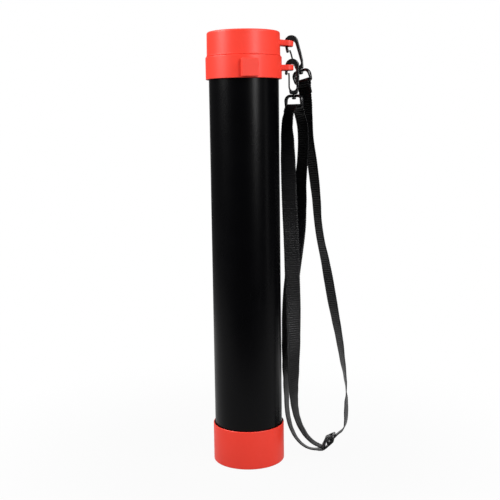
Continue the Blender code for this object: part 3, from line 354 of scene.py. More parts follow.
# Webbing's look: its bands with their scale and distortion, its fuzz, colours and bump
WEAVE_BANDS = (("X", 0.32, 0.4), ("Y", 0.33, 0.25))
FUZZ_NOISE = {"Scale": 3.5, "Detail": 4.0}
FUZZ_SHARE = 0.5
WEAVE_DARK = (0.0008, 0.0008, 0.0012)
WEAVE_LIGHT = (0.0065, 0.0062, 0.0080)
WEAVE_SHOWN = (0.02, 0.018, 0.022, 1)
WEAVE_ROUGHNESS = {"To Min": 0.24, "To Max": 0.4}
WEAVE_BUMP = 0.6
WEAVE_DEPTH = 0.18 * MM
WEAVE_SPECULAR = 0.36

# The floor reaches a little in front of the object. Its white goes by distance, to the eye and in mirrors
FLOOR_RADIUS = 2.8
FLOOR_FRONT = 0.45
FLOOR_STEPS = 96
FLOOR_ROUGHNESS = 0.9
FLOOR_COLOUR = (0.22, 0.22, 0.22, 1)
FLOOR_SEEN = {"From Min": 0.1, "From Max": 0.5, "To Min": 0.95, "To Max": 1.0}
FLOOR_MIRRORED = {"From Min": 0.6, "From Max": 1.0, "To Min": 0.5, "To Max": 0.03}

# The studio: its even light, and what mirrors show at its sides and straight behind
AMBIENT = 0.18
SIDES_MIRRORED = {"From Min": -1.0, "From Max": 1.0, "To Min": 0.1, "To Max": 0.02}
BACK_MIRRORED = {"From Min": 0.9, "From Max": 1.0}

# Each lamp: name, place, aim, width and height in metres, power in watts
LAMPS = (
    ("right_key", (0.89, -1.2, 0.9), (0, 0, 0.42), (0.3, 0.85), 13.5),
    ("right_high", (1.12, -0.66, 1.5), (0, 0, 0.45), (0.6, 0.5), 14.0),
    ("right_strip", (1.65, -0.44, 0.6), (0, 0, 0.4), (0.2, 1.4), 0.9),
    ("left_key", (-1.03, -0.38, 0.95), (0, 0, 0.47), (0.45, 0.6), 12.0),
    ("left_back", (-1.0, 0.15, 1.45), (0, 0, 0.45), (0.5, 0.5), 12.0),
)

# The camera, from the lines of the photograph
FOCAL_PIXELS = 877.2
PICTURE_PIXELS = 500
SENSOR = 36.0
CAMERA_PLACE = (0.0, -1.0590, 0.4122)
CAMERA_TILT = 8.03
CAMERA_ROLL = -0.79
CAMERA_YAW = -0.244
CAMERA_SIGHT = 30.0


def moved(x, y, z):
    return Matrix.Translation((x, y, z))


def rotation(axis, angle):
    """A turn about an axis, in degrees."""
    return Matrix.Rotation(radians(angle), 4, axis)


def add_piece(name, data):
    """A new object in the scene."""
    piece = bpy.data.objects.new(name, data)
    bpy.context.scene.collection.objects.link(piece)
    return piece


def from_shape(name, shape):
    """A new piece from a bmesh, which is freed."""
    mesh = bpy.data.meshes.new(name)
    shape.to_mesh(mesh)
    shape.free()
    return add_piece(name, mesh)


def weld(shape):
    """Merge what coincides and turn all faces outwards."""
    bmesh.ops.remove_doubles(shape, verts=shape.verts, dist=WELD)
    bmesh.ops.recalc_face_normals(shape, faces=shape.faces)


def worked(piece, place=None, merge_flat=False):
    """Replace a curve or a piece with modifiers by a plain mesh, moved by place."""
    bpy.context.view_layer.update()
    graph = bpy.context.evaluated_depsgraph_get()
    mesh = bpy.data.meshes.new_from_object(piece.evaluated_get(graph))
    shape = bmesh.new()
    shape.from_mesh(mesh)
    weld(shape)
    if merge_flat:
        bmesh.ops.dissolve_limit(shape, angle_limit=FLAT_ANGLE, verts=shape.verts, edges=shape.edges)
    shape.to_mesh(mesh)
    shape.free()
    mesh.transform((place or Matrix()) @ piece.matrix_world)
    name = piece.name
    bpy.data.objects.remove(piece)
    return add_piece(name, mesh)


def combine(piece, tools, operation):
    """Join tools to a piece or cut them out of it, one after another."""
    for tool in tools:
        step = piece.modifiers.new(operation.title(), "BOOLEAN")
        step.operation = operation
        step.solver = "EXACT"
        step.object = tool
    result = worked(piece, merge_flat=True)
    for tool in tools:
        bpy.data.objects.remove(tool)
    return result


def join(piece, *tools):
    return combine(piece, tools, "UNION")


def cut(piece, *tools):
    return combine(piece, tools, "DIFFERENCE")


def arc(centre, radius, start, end, steps):
    """Points on a circle from the start angle to the end angle, in degrees."""
    points = []
    for step in range(steps + 1):
        angle = radians(start + (end - start) * step / steps)
        points.append((centre[0] + radius * cos(angle), centre[1] + radius * sin(angle)))
    return points


def rounded_rectangle(width, depth, corner, steps, centre=(0.0, 0.0), shoulder=None):
    """An anticlockwise outline with four round corners, the upper two of their own radius."""
    points = []
    for start, side_x, side_y in ((0, 1, 1), (90, -1, 1), (180, -1, -1), (270, 1, -1)):
        radius = (shoulder or corner) if side_y > 0 else corner
        middle_x = centre[0] + side_x * (width / 2 - radius)
        middle_y = centre[1] + side_y * (depth / 2 - radius)
        points += arc((middle_x, middle_y), radius, start, start + 90, steps)
    return points


def turned(outline, steps=ROUND_STEPS):
    """A solid spun about Z from (radius, height) points, which close unless they start on the axis."""
    shape = bmesh.new()
    points = [shape.verts.new((radius, 0, height)) for radius, height in outline]
    closing = points[:1] if outline[0][0] > WELD else []
    for point, after in zip(points, points[1:] + closing):
        shape.edges.new((point, after))
    bmesh.ops.spin(
        shape, geom=shape.verts[:] + shape.edges[:], cent=(0, 0, 0), axis=(0, 0, 1), dvec=(0, 0, 0),
        angle=2 * pi, steps=steps, use_merge=True, use_duplicate=False,
    )
    weld(shape)
    return from_shape("turned", shape)


def plate(outlines, thickness, edge, place=None, edge_steps=3):
    """A flat plate cut to its outlines, with rounded edges, set by place."""
    curve = bpy.data.curves.new("plate", "CURVE")
    curve.dimensions = "2D"
    curve.fill_mode = "BOTH"
    curve.extrude = thickness / 2 - edge
    curve.bevel_depth = edge
    curve.bevel_resolution = edge_steps
    curve.offset = -edge
    for outline in outlines:
        add_spline(curve, [(x, y, 0) for x, y in outline])
    return worked(add_piece("plate", curve), place)


def rod_along(rings, radius, sides):
    """Closed rings of round rod that follow points."""
    curve = bpy.data.curves.new("rod", "CURVE")
    curve.dimensions = "3D"
    curve.bevel_depth = radius
    curve.bevel_resolution = sides
    for points in rings:
        add_spline(curve, points)
    return worked(add_piece("rod", curve))


def add_spline(curve, points):
    spline = curve.splines.new("POLY")
    spline.points.add(len(points) - 1)
    for target, point in zip(spline.points, points):
        target.co = (*point, 1)
    spline.use_cyclic_u = True


def cylinder(radius, length, place, steps=SMALL_ROUND_STEPS):
    shape = bmesh.new()
    bmesh.ops.create_cone(
        shape, cap_ends=True, segments=steps, radius1=radius, radius2=radius, depth=length, matrix=place,
    )
    return from_shape("cylinder", shape)


def round_edges(shape, edges, width, steps):
    bmesh.ops.bevel(
        shape, geom=edges, offset=width, segments=steps, profile=0.5, affect="EDGES", material=-1,
    )


def block(size, place, edge=0.0):
    """A plain block, with its edges rounded where edge is given."""
    shape = bmesh.new()
    bmesh.ops.create_cube(shape, size=1.0, matrix=Matrix.Diagonal((*size, 1)))
    if edge:
        round_edges(shape, shape.edges, edge, 2)
    bmesh.ops.transform(shape, matrix=place, verts=shape.verts)
    return from_shape("block", shape)


def finish(piece, name, slot, body, *nodes):
    """Name a finished piece, shade it, and tie it to its slot, its body and the CAD nodes it stands for."""
    piece.name = name
    piece.data.name = name
    piece.data.shade_smooth()
    piece.data.set_sharp_from_angle(angle=SHARP_ANGLE)
    piece.data.materials.clear()
    piece.data.materials.append(MATERIALS[slot])
    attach(piece, body)
    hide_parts(*nodes)
    return piece


def even_normals(piece):
    """Let the large flat faces decide the shading beside their rounded edges."""
    weigh = piece.modifiers.new("Even shading", "WEIGHTED_NORMAL")
    weigh.keep_sharp = True
    return piece


def wired(node, inputs):
    """Give a node's inputs plain values or other nodes' outputs."""
    for label, value in inputs.items():
        if isinstance(value, bpy.types.NodeSocket):
            node.id_data.links.new(value, node.inputs[label])
        else:
            node.inputs[label].default_value = value
    return node


def new_node(tree, kind, inputs=None, **settings):
    """A new shader node with its settings and inputs."""
    node = tree.nodes.new("ShaderNode" + kind)
    for label, value in settings.items():
        setattr(node, label, value)
    return wired(node, inputs or {})


def reckoned(tree, operation, *values):
    """The result of a math node."""
    return new_node(tree, "Math", dict(enumerate(values)), operation=operation).outputs[0]


def ranged(tree, value, bounds, **settings):
    """A value spread from one range to another."""
    return new_node(tree, "MapRange", {"Value": value, **bounds}, **settings).outputs["Result"]


def noise(tree, where, look):
    return new_node(tree, "TexNoise", {"Vector": where, **look}).outputs["Fac"]


def mirror_rays(tree, path):
    """Whether a ray comes from a mirroring or a clear surface."""
    return reckoned(tree, "MAXIMUM", path["Is Glossy Ray"], path["Is Transmission Ray"])


def make_moulded_group():
    """Moulded plastic: a faint orange peel, cloudy roughness and fine rubbed scuffs."""
    group = bpy.data.node_groups.new("moulded_surface", "ShaderNodeTree")
    sockets = [("INPUT", label) for label in ("Roughness", "Cloud", "Scuff", "Peel")]
    sockets += [("OUTPUT", label) for label in ("Roughness", "Height", "Tone")]
    for way, label in sockets:
        group.interface.new_socket(name=label, in_out=way, socket_type="NodeSocketFloat")
    given = group.nodes.new("NodeGroupInput").outputs
    place = new_node(group, "TexCoord").outputs["Object"]
    along = new_node(group, "Mapping", {"Vector": place, **SCRATCH_RUN}).outputs["Vector"]
    cloud = noise(group, place, CLOUD_NOISE)
    marks = ranged(group, noise(group, along, SCRATCH_NOISE), SCRATCH_SHOWN)
    centred = reckoned(group, "SUBTRACT", cloud, 0.5)
    cloudy = reckoned(group, "MULTIPLY_ADD", centred, given["Cloud"], given["Roughness"])
    wired(group.nodes.new("NodeGroupOutput"), {
        "Roughness": reckoned(group, "MULTIPLY_ADD", marks, given["Scuff"], cloudy),
        "Height": reckoned(group, "MULTIPLY", noise(group, place, PEEL_NOISE), given["Peel"]),
        "Tone": cloud,
    })
    return group


def new_material(name):
    """A new material, its node tree and its surface shader."""
    made = bpy.data.materials.new(name)
    made.use_nodes = True
    return made, made.node_tree, made.node_tree.nodes["Principled BSDF"]


def moulded_surface(tree, roughness, cloud, scuff, peel):
    """The roughness, height and tone of moulded plastic."""
    values = {"Roughness": roughness, "Cloud": cloud, "Scuff": scuff, "Peel": peel}
    return new_node(tree, "Group", values, node_tree=MOULDED).outputs


def two_tone(tree, share, dark, light):
    """A mix of two colours. They go in at the node's sockets 6 and 7 and come out at 2."""
    inputs = {"Factor": share, 6: (*dark, 1), 7: (*light, 1)}
    return new_node(tree, "Mix", inputs, data_type="RGBA").outputs[2]


def bumped(tree, height, strength, depth):
    values = {"Strength": strength, "Distance": depth, "Height": height}
    return new_node(tree, "Bump", values).outputs["Normal"]


def moulded_material(name, dark, light, surface, bump, specular):
    """A moulded plastic between two close colours."""
    made, tree, shader = new_material(name)
    look = moulded_surface(tree, *surface)
    wired(shader, {
        "Base Color": two_tone(tree, look["Tone"], dark, light),
        "Roughness": look["Roughness"],
        "Normal": bumped(tree, look["Height"], bump, PEEL_DEPTH),
        "Specular IOR Level": specular,
    })
    made.diffuse_color = (*light, 1)
    return made


def webbing_material():
    """Black webbing: ribs across it, warp threads along it and a soft edge, all on its own UV map."""
    made, tree, shader = new_material("black_webbing")
    where = new_node(tree, "UVMap", uv_map="weave").outputs["UV"]
    warp, pick = [
        new_node(
            tree, "TexWave", {"Vector": where, "Scale": scale, "Distortion": distortion, "Detail": 1.0},
            wave_type="BANDS", bands_direction=direction,
        ).outputs["Fac"]
        for direction, scale, distortion in WEAVE_BANDS
    ]
    fuzz = noise(tree, where, FUZZ_NOISE)
    crossed = reckoned(tree, "MULTIPLY", warp, pick)
    height = reckoned(tree, "MULTIPLY_ADD", fuzz, FUZZ_SHARE, crossed)
    wired(shader, {
        "Base Color": two_tone(tree, crossed, WEAVE_DARK, WEAVE_LIGHT),
        "Roughness": ranged(tree, fuzz, WEAVE_ROUGHNESS),
        "Normal": bumped(tree, height, WEAVE_BUMP, WEAVE_DEPTH),
        "Specular IOR Level": WEAVE_SPECULAR,
    })
    made.diffuse_color = WEAVE_SHOWN
    return made


def steel_material():
    made, tree, shader = new_material("rivet_steel")
    look = moulded_surface(tree, *STEEL_SURFACE)
    wired(shader, {"Base Color": STEEL_COLOUR, "Metallic": 1.0, "Roughness": look["Roughness"]})
    return made


def build_tube():
    middle = ((TUBE_RADIUS + BORE_RADIUS) / 2, (TUBE_TOP + TUBE_BOTTOM) / 2)
    outline = rounded_rectangle(TUBE_RADIUS - BORE_RADIUS, TUBE_TOP - TUBE_BOTTOM, TUBE_EDGE, 1, middle)
    finish(turned(outline), "tube", "black_tube", "frame", "tube_barrel")


def build_base_cap():
    fillet = BASE_FOOT_FILLET
    outline = [
        *arc((BASE_RADIUS - BASE_RIM_FILLET, BASE_HEIGHT - BASE_RIM_FILLET), BASE_RIM_FILLET, 90, 0, 6),
        *arc((BASE_RADIUS - fillet, fillet), fillet, 0, -90, 8),
        *arc((MOUTH_RADIUS + MOUTH_LEAD_IN, MOUTH_LEAD_IN), MOUTH_LEAD_IN, 270, 180, 5),
        (MOUTH_RADIUS, BASE_LEDGE),
        (SOCKET_RADIUS, BASE_LEDGE),
        (SOCKET_RADIUS, BASE_HEIGHT - BASE_LEAD_IN[1]),
        (SOCKET_RADIUS + BASE_LEAD_IN[0], BASE_HEIGHT),
    ]
    finish(turned(outline), "base_shell", "red_shell", "frame", "base_cap")


def build_ring():
    flange_top = RING_BOTTOM + RING_FLANGE
    inner = RING_RADIUS - RING_WALL
    edge = RING_EDGE
    outline = [
        (RING_RADIUS - edge, RING_TOP), (RING_RADIUS, RING_TOP - edge),
        (RING_RADIUS, RING_BOTTOM + edge), (RING_RADIUS - edge, RING_BOTTOM),
        (MOUTH_RADIUS + edge, RING_BOTTOM), (MOUTH_RADIUS, RING_BOTTOM + edge),
        (MOUTH_RADIUS, flange_top - edge), (MOUTH_RADIUS + edge, flange_top),
        (inner - edge, flange_top), (inner, flange_top + edge),
        (inner, RING_TOP - edge), (inner + edge, RING_TOP),
    ]
    finish(turned(outline), "mouth_ring", "black_soft_plastic", "frame", "ball_gate_ring")


def half_angle_at(along):
    """A finger's half width, in degrees round the ring, at a share of its length."""
    for (low, start), (high, end) in zip(FINGER_HALF_ANGLES, FINGER_HALF_ANGLES[1:]):
        if along <= high:
            break
    return start + (end - start) * (along - low) / (high - low)


def build_fingers():
    """Six curved leaves with a narrow hinge, each on the body that flexes it."""
    for number in range(FINGER_COUNT):
        shape = bmesh.new()
        bmesh.ops.create_grid(shape, x_segments=FINGER_COLUMNS, y_segments=FINGER_ROWS, size=1.0)
        for point in shape.verts:
            across = point.co.x
            along = (point.co.y + 1) / 2
            angle = radians(half_angle_at(along) * across)
            lip = FINGER_LIP * max(0.0, along - FINGER_LIP_START) / (1 - FINGER_LIP_START)
            radius = HINGE_RADIUS - FINGER_LEAN * along - lip
            rise = FINGER_LENGTH * along - FINGER_TIP_ROUND * across ** 2 * along ** FINGER_TIP_POWER
            point.co = (radius * cos(angle), radius * sin(angle), rise - FINGER_HINGE_RISE + HINGE_HEIGHT)
        leaf = from_shape("finger", shape)
        leaf.data.transform(rotation("Z", FINGER_FIRST_ANGLE + 360 * number / FINGER_COUNT))
        wall = leaf.modifiers.new("Wall", "SOLIDIFY")
        wall.thickness = FINGER_THICKNESS
        wall.offset = 0
        wall.use_even_offset = True
        edge = leaf.modifiers.new("Edge", "BEVEL")
        edge.width = FINGER_EDGE
        edge.segments = 3
        edge.limit_method = "ANGLE"
        edge.angle_limit = FINGER_EDGE_ANGLE
        name = f"finger_{number + 1}"
        finish(worked(leaf), "leaf_" + name, "black_soft_plastic", name, name)


def build_lug(root, place):
    """A lug with a slot for the snap hook. Its x starts at the collar's side, place sets it."""
    tip = [
        *arc((LUG_REACH - LUG_CORNER, LUG_CORNER - LUG_WIDTH / 2), LUG_CORNER, -90, 0, 10),
        *arc((LUG_REACH - LUG_CORNER, LUG_WIDTH / 2 - LUG_CORNER), LUG_CORNER, 0, 90, 10),
    ]
    outer = tip + [(-root, LUG_WIDTH / 2), (-root, -LUG_WIDTH / 2)]
    slot = rounded_rectangle(LUG_HOLE_DEPTH, LUG_HOLE_WIDTH, LUG_HOLE_CORNER, 6, (LUG_HOLE_CENTRE, 0))
    return plate([outer, slot], LUG_THICKNESS, LUG_EDGE, place)


def build_pad():
    """The raised pad on the collar's front, a block that narrows towards its face."""
    foot = COLLAR_RADIUS - PAD_ROOT_DEPTH
    depth = PAD_ROOT_DEPTH + PAD_PROUD
    shape = bmesh.new()
    bmesh.ops.create_cube(shape, size=1.0)
    for point in shape.verts:
        spread = PAD_DRAFT * (0.5 - point.co.z)
        point.co.x *= PAD_WIDTH + 2 * spread
        point.co.y *= PAD_HEIGHT
        point.co.z *= depth
    sides = [edge for edge in shape.edges if abs(edge.verts[0].co.z - edge.verts[1].co.z) > depth / 2]
    round_edges(shape, sides, PAD_SIDE_EDGE, 3)
    face = [edge for edge in shape.edges if all(point.co.z > depth / 3 for point in edge.verts)]
    round_edges(shape, face, PAD_FACE_EDGE, 4)
    pad = from_shape("pad", shape)
    rise = moved(0, 0, COLLAR_BOTTOM + PAD_MIDDLE)
    pad.data.transform(rise @ rotation("Z", PAD_ANGLE) @ STAND_UP @ moved(0, 0, foot + depth / 2))
    return pad


def build_collar():
    fillet = COLLAR_FILLET
    foot = COLLAR_FOOT_EDGE
    outline = [
        (NECK_RADIUS - NECK_EDGE, NECK_TOP),
        *arc((NECK_RADIUS - NECK_EDGE, NECK_TOP - NECK_EDGE), NECK_EDGE, 80, 0, 4),
        (NECK_RADIUS, SHOULDER_TOP),
        *arc((COLLAR_RADIUS - fillet, SHOULDER_TOP - fillet), fillet, 90, 0, 6),
        *arc((COLLAR_RADIUS - foot, COLLAR_BOTTOM + foot), foot, 0, -90, 4),
        (SOCKET_RADIUS + SOCKET_LEAD_IN, COLLAR_BOTTOM),
        (SOCKET_RADIUS, COLLAR_BOTTOM + SOCKET_LEAD_IN),
        (SOCKET_RADIUS, COLLAR_LEDGE),
        (BORE_RADIUS, COLLAR_LEDGE),
        (BORE_RADIUS, NECK_TOP),
    ]
    place = moved(COLLAR_RADIUS, 0, COLLAR_LUG_HEIGHT)
    collar = join(turned(outline), build_pad(), build_lug(COLLAR_LUG_ROOT, place))
    even_normals(finish(collar, "collar_shell", "red_shell", "frame", "collar"))


def build_lid():
    top_radius = LID_RADIUS - LID_DRAFT
    ceiling = LID_TOP - LID_ROOF
    outline = [
        (0, LID_TOP),
        *arc((top_radius - LID_FILLET, LID_TOP - LID_FILLET), LID_FILLET, 90, 2, 8),
        (LID_RADIUS - LID_BEAD_PROUD, LID_BOTTOM + LID_BEAD + LID_BEAD_PROUD),
        (LID_RADIUS - LID_EDGE, LID_BOTTOM + LID_BEAD),
        (LID_RADIUS, LID_BOTTOM + LID_BEAD - LID_EDGE),
        *arc((LID_RADIUS - LID_SEAM, LID_BOTTOM + LID_SEAM), LID_SEAM, 0, -90, 4),
        (LID_SKIRT_RADIUS + LID_EDGE, LID_BOTTOM),
        (LID_SKIRT_RADIUS, LID_BOTTOM + LID_EDGE),
        (LID_SKIRT_RADIUS - LID_DRAFT, ceiling),
        (0, ceiling),
    ]
    lid = turned(outline)
    middle = LID_BOTTOM + GRIP_RIB_START + GRIP_RIB_HEIGHT / 2
    ribs = []
    for number in range(GRIP_RIB_COUNT):
        turn = rotation("Z", 360 * (number + 0.5) / GRIP_RIB_COUNT)
        place = moved(GRIP_RIB_INNER + GRIP_RIB_DEPTH / 2, 0, middle)
        ribs.append(block((GRIP_RIB_DEPTH, GRIP_RIB_WIDTH, GRIP_RIB_HEIGHT), turn @ place, LID_EDGE))
    lid = join(lid, build_lug(LID_LUG_ROOT, LID_LUG_FRAME), *ribs)
    even_normals(finish(lid, "lid_shell", "red_shell", "lid", "lid"))


def hook_outline():
    """The hook seen from the front, in its own frame, anticlockwise from the nose's tip."""
    throat = (0.0, -THROAT_DROP)
    nose_tip = (-THROAT_RADIUS - NOSE_HALF, NOSE_HALF - NOSE_LENGTH)
    pin = (PIN_X, -PIN_DROP)
    cheek_end = acos((PIN_DROP - SLOT_BOTTOM) / CHEEK_RADIUS)
    slot_corner = (SPINE_INNER_LOW - SLOT_CORNER, SLOT_CORNER - SLOT_BOTTOM)
    spine_outer = ARCH_CENTRE[0] + ARCH_RADIUS
    foot_corner = BODY_FOOT_CORNER - BODY_BOTTOM
    return [
        *arc(nose_tip, NOSE_HALF, 180, 360, 14),
        *arc(throat, THROAT_RADIUS, 180, 0, 28),
        *arc(slot_corner, SLOT_CORNER, 0, -90, 8),
        *arc(pin, CHEEK_RADIUS, 90 - degrees(cheek_end), 200, 16),
        *arc((BODY_BOTTOM_LEFT, foot_corner), BODY_FOOT_CORNER, 180, 270, 6),
        *arc((BODY_BOTTOM_RIGHT, foot_corner), BODY_FOOT_CORNER, 270, 350, 6),
        (spine_outer - SPINE_LOW[0], SPINE_LOW[1] - BODY_BOTTOM),
        (spine_outer - SPINE_HIGH[0], SPINE_HIGH[1] - BODY_BOTTOM),
        (spine_outer, SPINE_TOP),
        *arc(ARCH_CENTRE, ARCH_RADIUS, 0, 180, 32),
    ]


def build_stem():
    """The swivel stem under the hook, with the domed head that carries the eye."""
    half = STEM_HEAD / 2
    dome = arc((0, 0), 1, 0, 90, DOME_STEPS)
    outline = [
        (0, STEM_ROOT - BODY_BOTTOM),
        (STEM_RADIUS, STEM_ROOT - BODY_BOTTOM),
        (STEM_RADIUS, STEM_HEAD_TOP),
        (STEM_HEAD_RADIUS, STEM_HEAD_TOP),
        *[(STEM_HEAD_RADIUS * x, STEM_HEAD_TOP - half - half * y) for x, y in dome],
    ]
    stem = turned(outline, SMALL_ROUND_STEPS)
    stem.data.transform(moved(STEM_X, 0, 0))
    return stem


def hook_body():
    hook = plate([hook_outline()], HOOK_THICKNESS, HOOK_EDGE, STAND_UP, edge_steps=5)
    hook = join(hook, build_stem())
    at_pin = moved(PIN_X, 0, -PIN_DROP) @ STAND_UP
    slot = cylinder(KNUCKLE_RADIUS + KNUCKLE_ROOM, CHEEK_SLOT, at_pin)
    hole = cylinder(PIN_RADIUS + PIN_GAP, 2 * HOOK_THICKNESS, at_pin, HOLE_STEPS)
    return even_normals(cut(hook, slot, hole))


def hook_gate():
    """The sprung leaf, hung at the pin: a knuckle, a tongue and a leaf with a bent tip."""
    back = -GATE_BACK
    front = GATE_THICKNESS - GATE_BACK
    outline = [
        *arc((0, 0), KNUCKLE_RADIUS, 180, 440, 24),
        (front, GATE_FOOT),
        (front, GATE_TIP - GATE_BEND[1]),
        (front - GATE_LIP, GATE_TIP),
        (back - GATE_LIP, GATE_TIP),
        (back - GATE_LIP, GATE_TIP - GATE_BEND[2]),
        (back, GATE_TIP - GATE_BEND[0]),
        (back, GATE_FOOT),
    ]
    gate = plate([outline], GATE_WIDTH, GATE_EDGE, STAND_UP, edge_steps=2)
    side = (GATE_WIDTH - GATE_TONGUE) / 2
    reach = GATE_TONGUE_TOP + GATE_ROOM
    cutters = [cylinder(PIN_RADIUS + PIN_GAP, 2 * GATE_WIDTH, STAND_UP, HOLE_STEPS)]
    for way in (-1, 1):
        middle = (0, way * (GATE_TONGUE / 2 + side), GATE_TONGUE_TOP - reach / 2)
        cutters.append(block((2 * GATE_ROOM, 2 * side, reach), moved(*middle)))
    return cut(gate, *cutters)


def hook_rivet():
    half = HOOK_THICKNESS / 2 + PIN_GAP
    head = [(PIN_HEAD_RADIUS * x, half + PIN_HEAD * y) for x, y in arc((0, 0), 1, 0, 90, DOME_STEPS)]
    outline = [*head[::-1], (PIN_RADIUS, half), (PIN_RADIUS, -half), *[(x, -z) for x, z in head]]
    rivet = turned(outline, PIN_STEPS)
    rivet.data.transform(STAND_UP)
    return rivet


def eased(value, low, high):
    """A smooth step from 0 at the low value to 1 at the high one."""
    share = min(1.0, max(0.0, (value - low) / (high - low)))
    return share * share * (3 - 2 * share)


def hook_eye():
    """The webbing eye: a rounded ring with a bored hub, its limbs deeper than the bar."""
    width = EYE_OPENING + 2 * EYE_WIRE_RADIUS
    middle = (EYE_TOP_BAR + EYE_BAR) / 2
    outline = rounded_rectangle(width, EYE_HEIGHT, EYE_CORNER, 10, (0, middle), EYE_SHOULDER)
    ring = rod_along([[(x, 0, z) for x, z in outline]], EYE_WIRE_RADIUS, 7)
    for point in ring.data.vertices:
        limb = eased(point.co.z - EYE_BAR, *EYE_LIMB_FROM) * eased(abs(point.co.x), *EYE_HUB_ROOM)
        point.co.y *= 1 + (EYE_LIMB_DEPTH - 1) * limb
    top = EYE_TOP_BAR + HUB_HEIGHT / 2
    foot = EYE_TOP_BAR - HUB_HEIGHT / 2
    hub = turned([
        (0, top),
        *arc((HUB_RADIUS - HUB_EDGE, top - HUB_EDGE), HUB_EDGE, 90, 0, 5),
        *arc((HUB_RADIUS - HUB_EDGE, foot + HUB_EDGE), HUB_EDGE, 0, -90, 5),
        (0, foot),
    ], SMALL_ROUND_STEPS)
    bore = cylinder(STEM_RADIUS + STEM_GAP, 4 * HUB_HEIGHT, moved(0, 0, EYE_TOP_BAR))
    return cut(join(ring, hub), bore)


def hung_at(pivot, lean):
    return moved(*pivot) @ rotation("Y", -lean)


def eye_frame(pivot, lean, turn):
    """The frame of an eye: x along its bar, y through its opening, z along the swivel."""
    return hung_at(pivot, lean) @ moved(STEM_X, 0, 0) @ rotation("Z", -turn)


def build_hooks():
    """Both snap hooks, each hung at its lug's rim."""
    for letter, (pivot, lean, turn) in HOOKS.items():
        hung = hung_at(pivot, lean)
        at_pin = hung @ moved(PIN_X, 0, -PIN_DROP)
        for part, maker, place, slot, body in (
            ("body", hook_body, hung, "black_hook_plastic", "hook_"),
            ("gate", hook_gate, at_pin, "black_hook_plastic", "gate_"),
            ("rivet", hook_rivet, at_pin, "rivet_steel", "hook_"),
            ("eye", hook_eye, eye_frame(pivot, lean, turn), "black_hook_plastic", "eye_"),
        ):
            piece = maker()
            piece.data.transform(place)
            finish(piece, f"snap_{letter}_{part}", slot, body + letter, f"hook_{letter}_{part}")


def slider_frame():
    """The frame of the slider: x along the webbing, y across it, z away from the sewn loop."""
    turn = rotation("Y", -SLIDER_TILT) @ rotation("X", SLIDER_ROLL)
    return moved(*SLIDER_PLACE) @ turn


def bow_at(along):
    """How far the slider's rails rise at a distance from its middle."""
    return SLIDER_BOW * cos(min(1.0, abs(along) / (SLIDER_SPAN / 2)) * pi / 2) ** SLIDER_BOW_POWER


def build_slider():
    """A three-bar slider whose frame is bowed, with its middle bar under the rails."""
    length = SLIDER_SPAN + SLIDER_BAR_WIDTH
    outer = rounded_rectangle(length, SLIDER_INSIDE + 2 * SLIDER_RAIL, SLIDER_CORNER, 8)
    opening = rounded_rectangle(SLIDER_SPAN - SLIDER_BAR_WIDTH, SLIDER_INSIDE, SLIDER_EDGE, 4)
    rails = plate([outer, opening], SLIDER_THICKNESS, SLIDER_EDGE, edge_steps=4)
    shape = bmesh.new()
    shape.from_mesh(rails.data)
    for number in range(1, SLIDER_BOW_STEPS):
        cut_at = (-length / 2 + length * number / SLIDER_BOW_STEPS, 0, 0)
        geometry = shape.verts[:] + shape.edges[:] + shape.faces[:]
        bmesh.ops.bisect_plane(shape, geom=geometry, dist=WELD, plane_co=cut_at, plane_no=(1, 0, 0))
    for point in shape.verts:
        point.co.z += bow_at(point.co.x)
    bmesh.ops.triangulate(shape, faces=shape.faces)
    shape.to_mesh(rails.data)
    shape.free()
    across = moved(0, 0, MIDDLE_BAR_RISE) @ STAND_UP
    bar = cylinder(MIDDLE_BAR_RADIUS, SLIDER_INSIDE + SLIDER_RAIL, across, PIN_STEPS)
    slider = join(rails, bar)
    slider.data.transform(slider_frame())
    finish(slider, "three_bar_slider", "black_hook_plastic", "slider", "strap_slider")


def station(place, point, across):
    """One station of webbing: its place and its width direction, given in a frame."""
    return place @ Vector(point), (place.to_3x3() @ Vector(across)).normalized()


def fold(place, axis, centre, radius, start, end, steps, across):
    """Stations of webbing round a bar, in a frame's XZ plane or, for axis X, its YZ plane."""
    stations = []
    for along, height in arc(centre, radius, start, end, steps):
        point = (0, along, height) if axis == "X" else (along, 0, height)
        stations.append(station(place, point, across))
    return stations


def strand(rows, start, end):
    """Listed stations of a strand, moved at its ends to the hardware that it meets."""
    stations = []
    last = len(rows) - 1
    for number, (x, y, z, heading, rise) in enumerate(rows):
        flat = cos(radians(rise))
        across = Vector((cos(radians(heading)) * flat, sin(radians(heading)) * flat, sin(radians(rise))))
        shift = start * (1 - number / last) + end * (number / last)
        stations.append((Vector((x, y, z)) * MM + shift, across))
    return stations


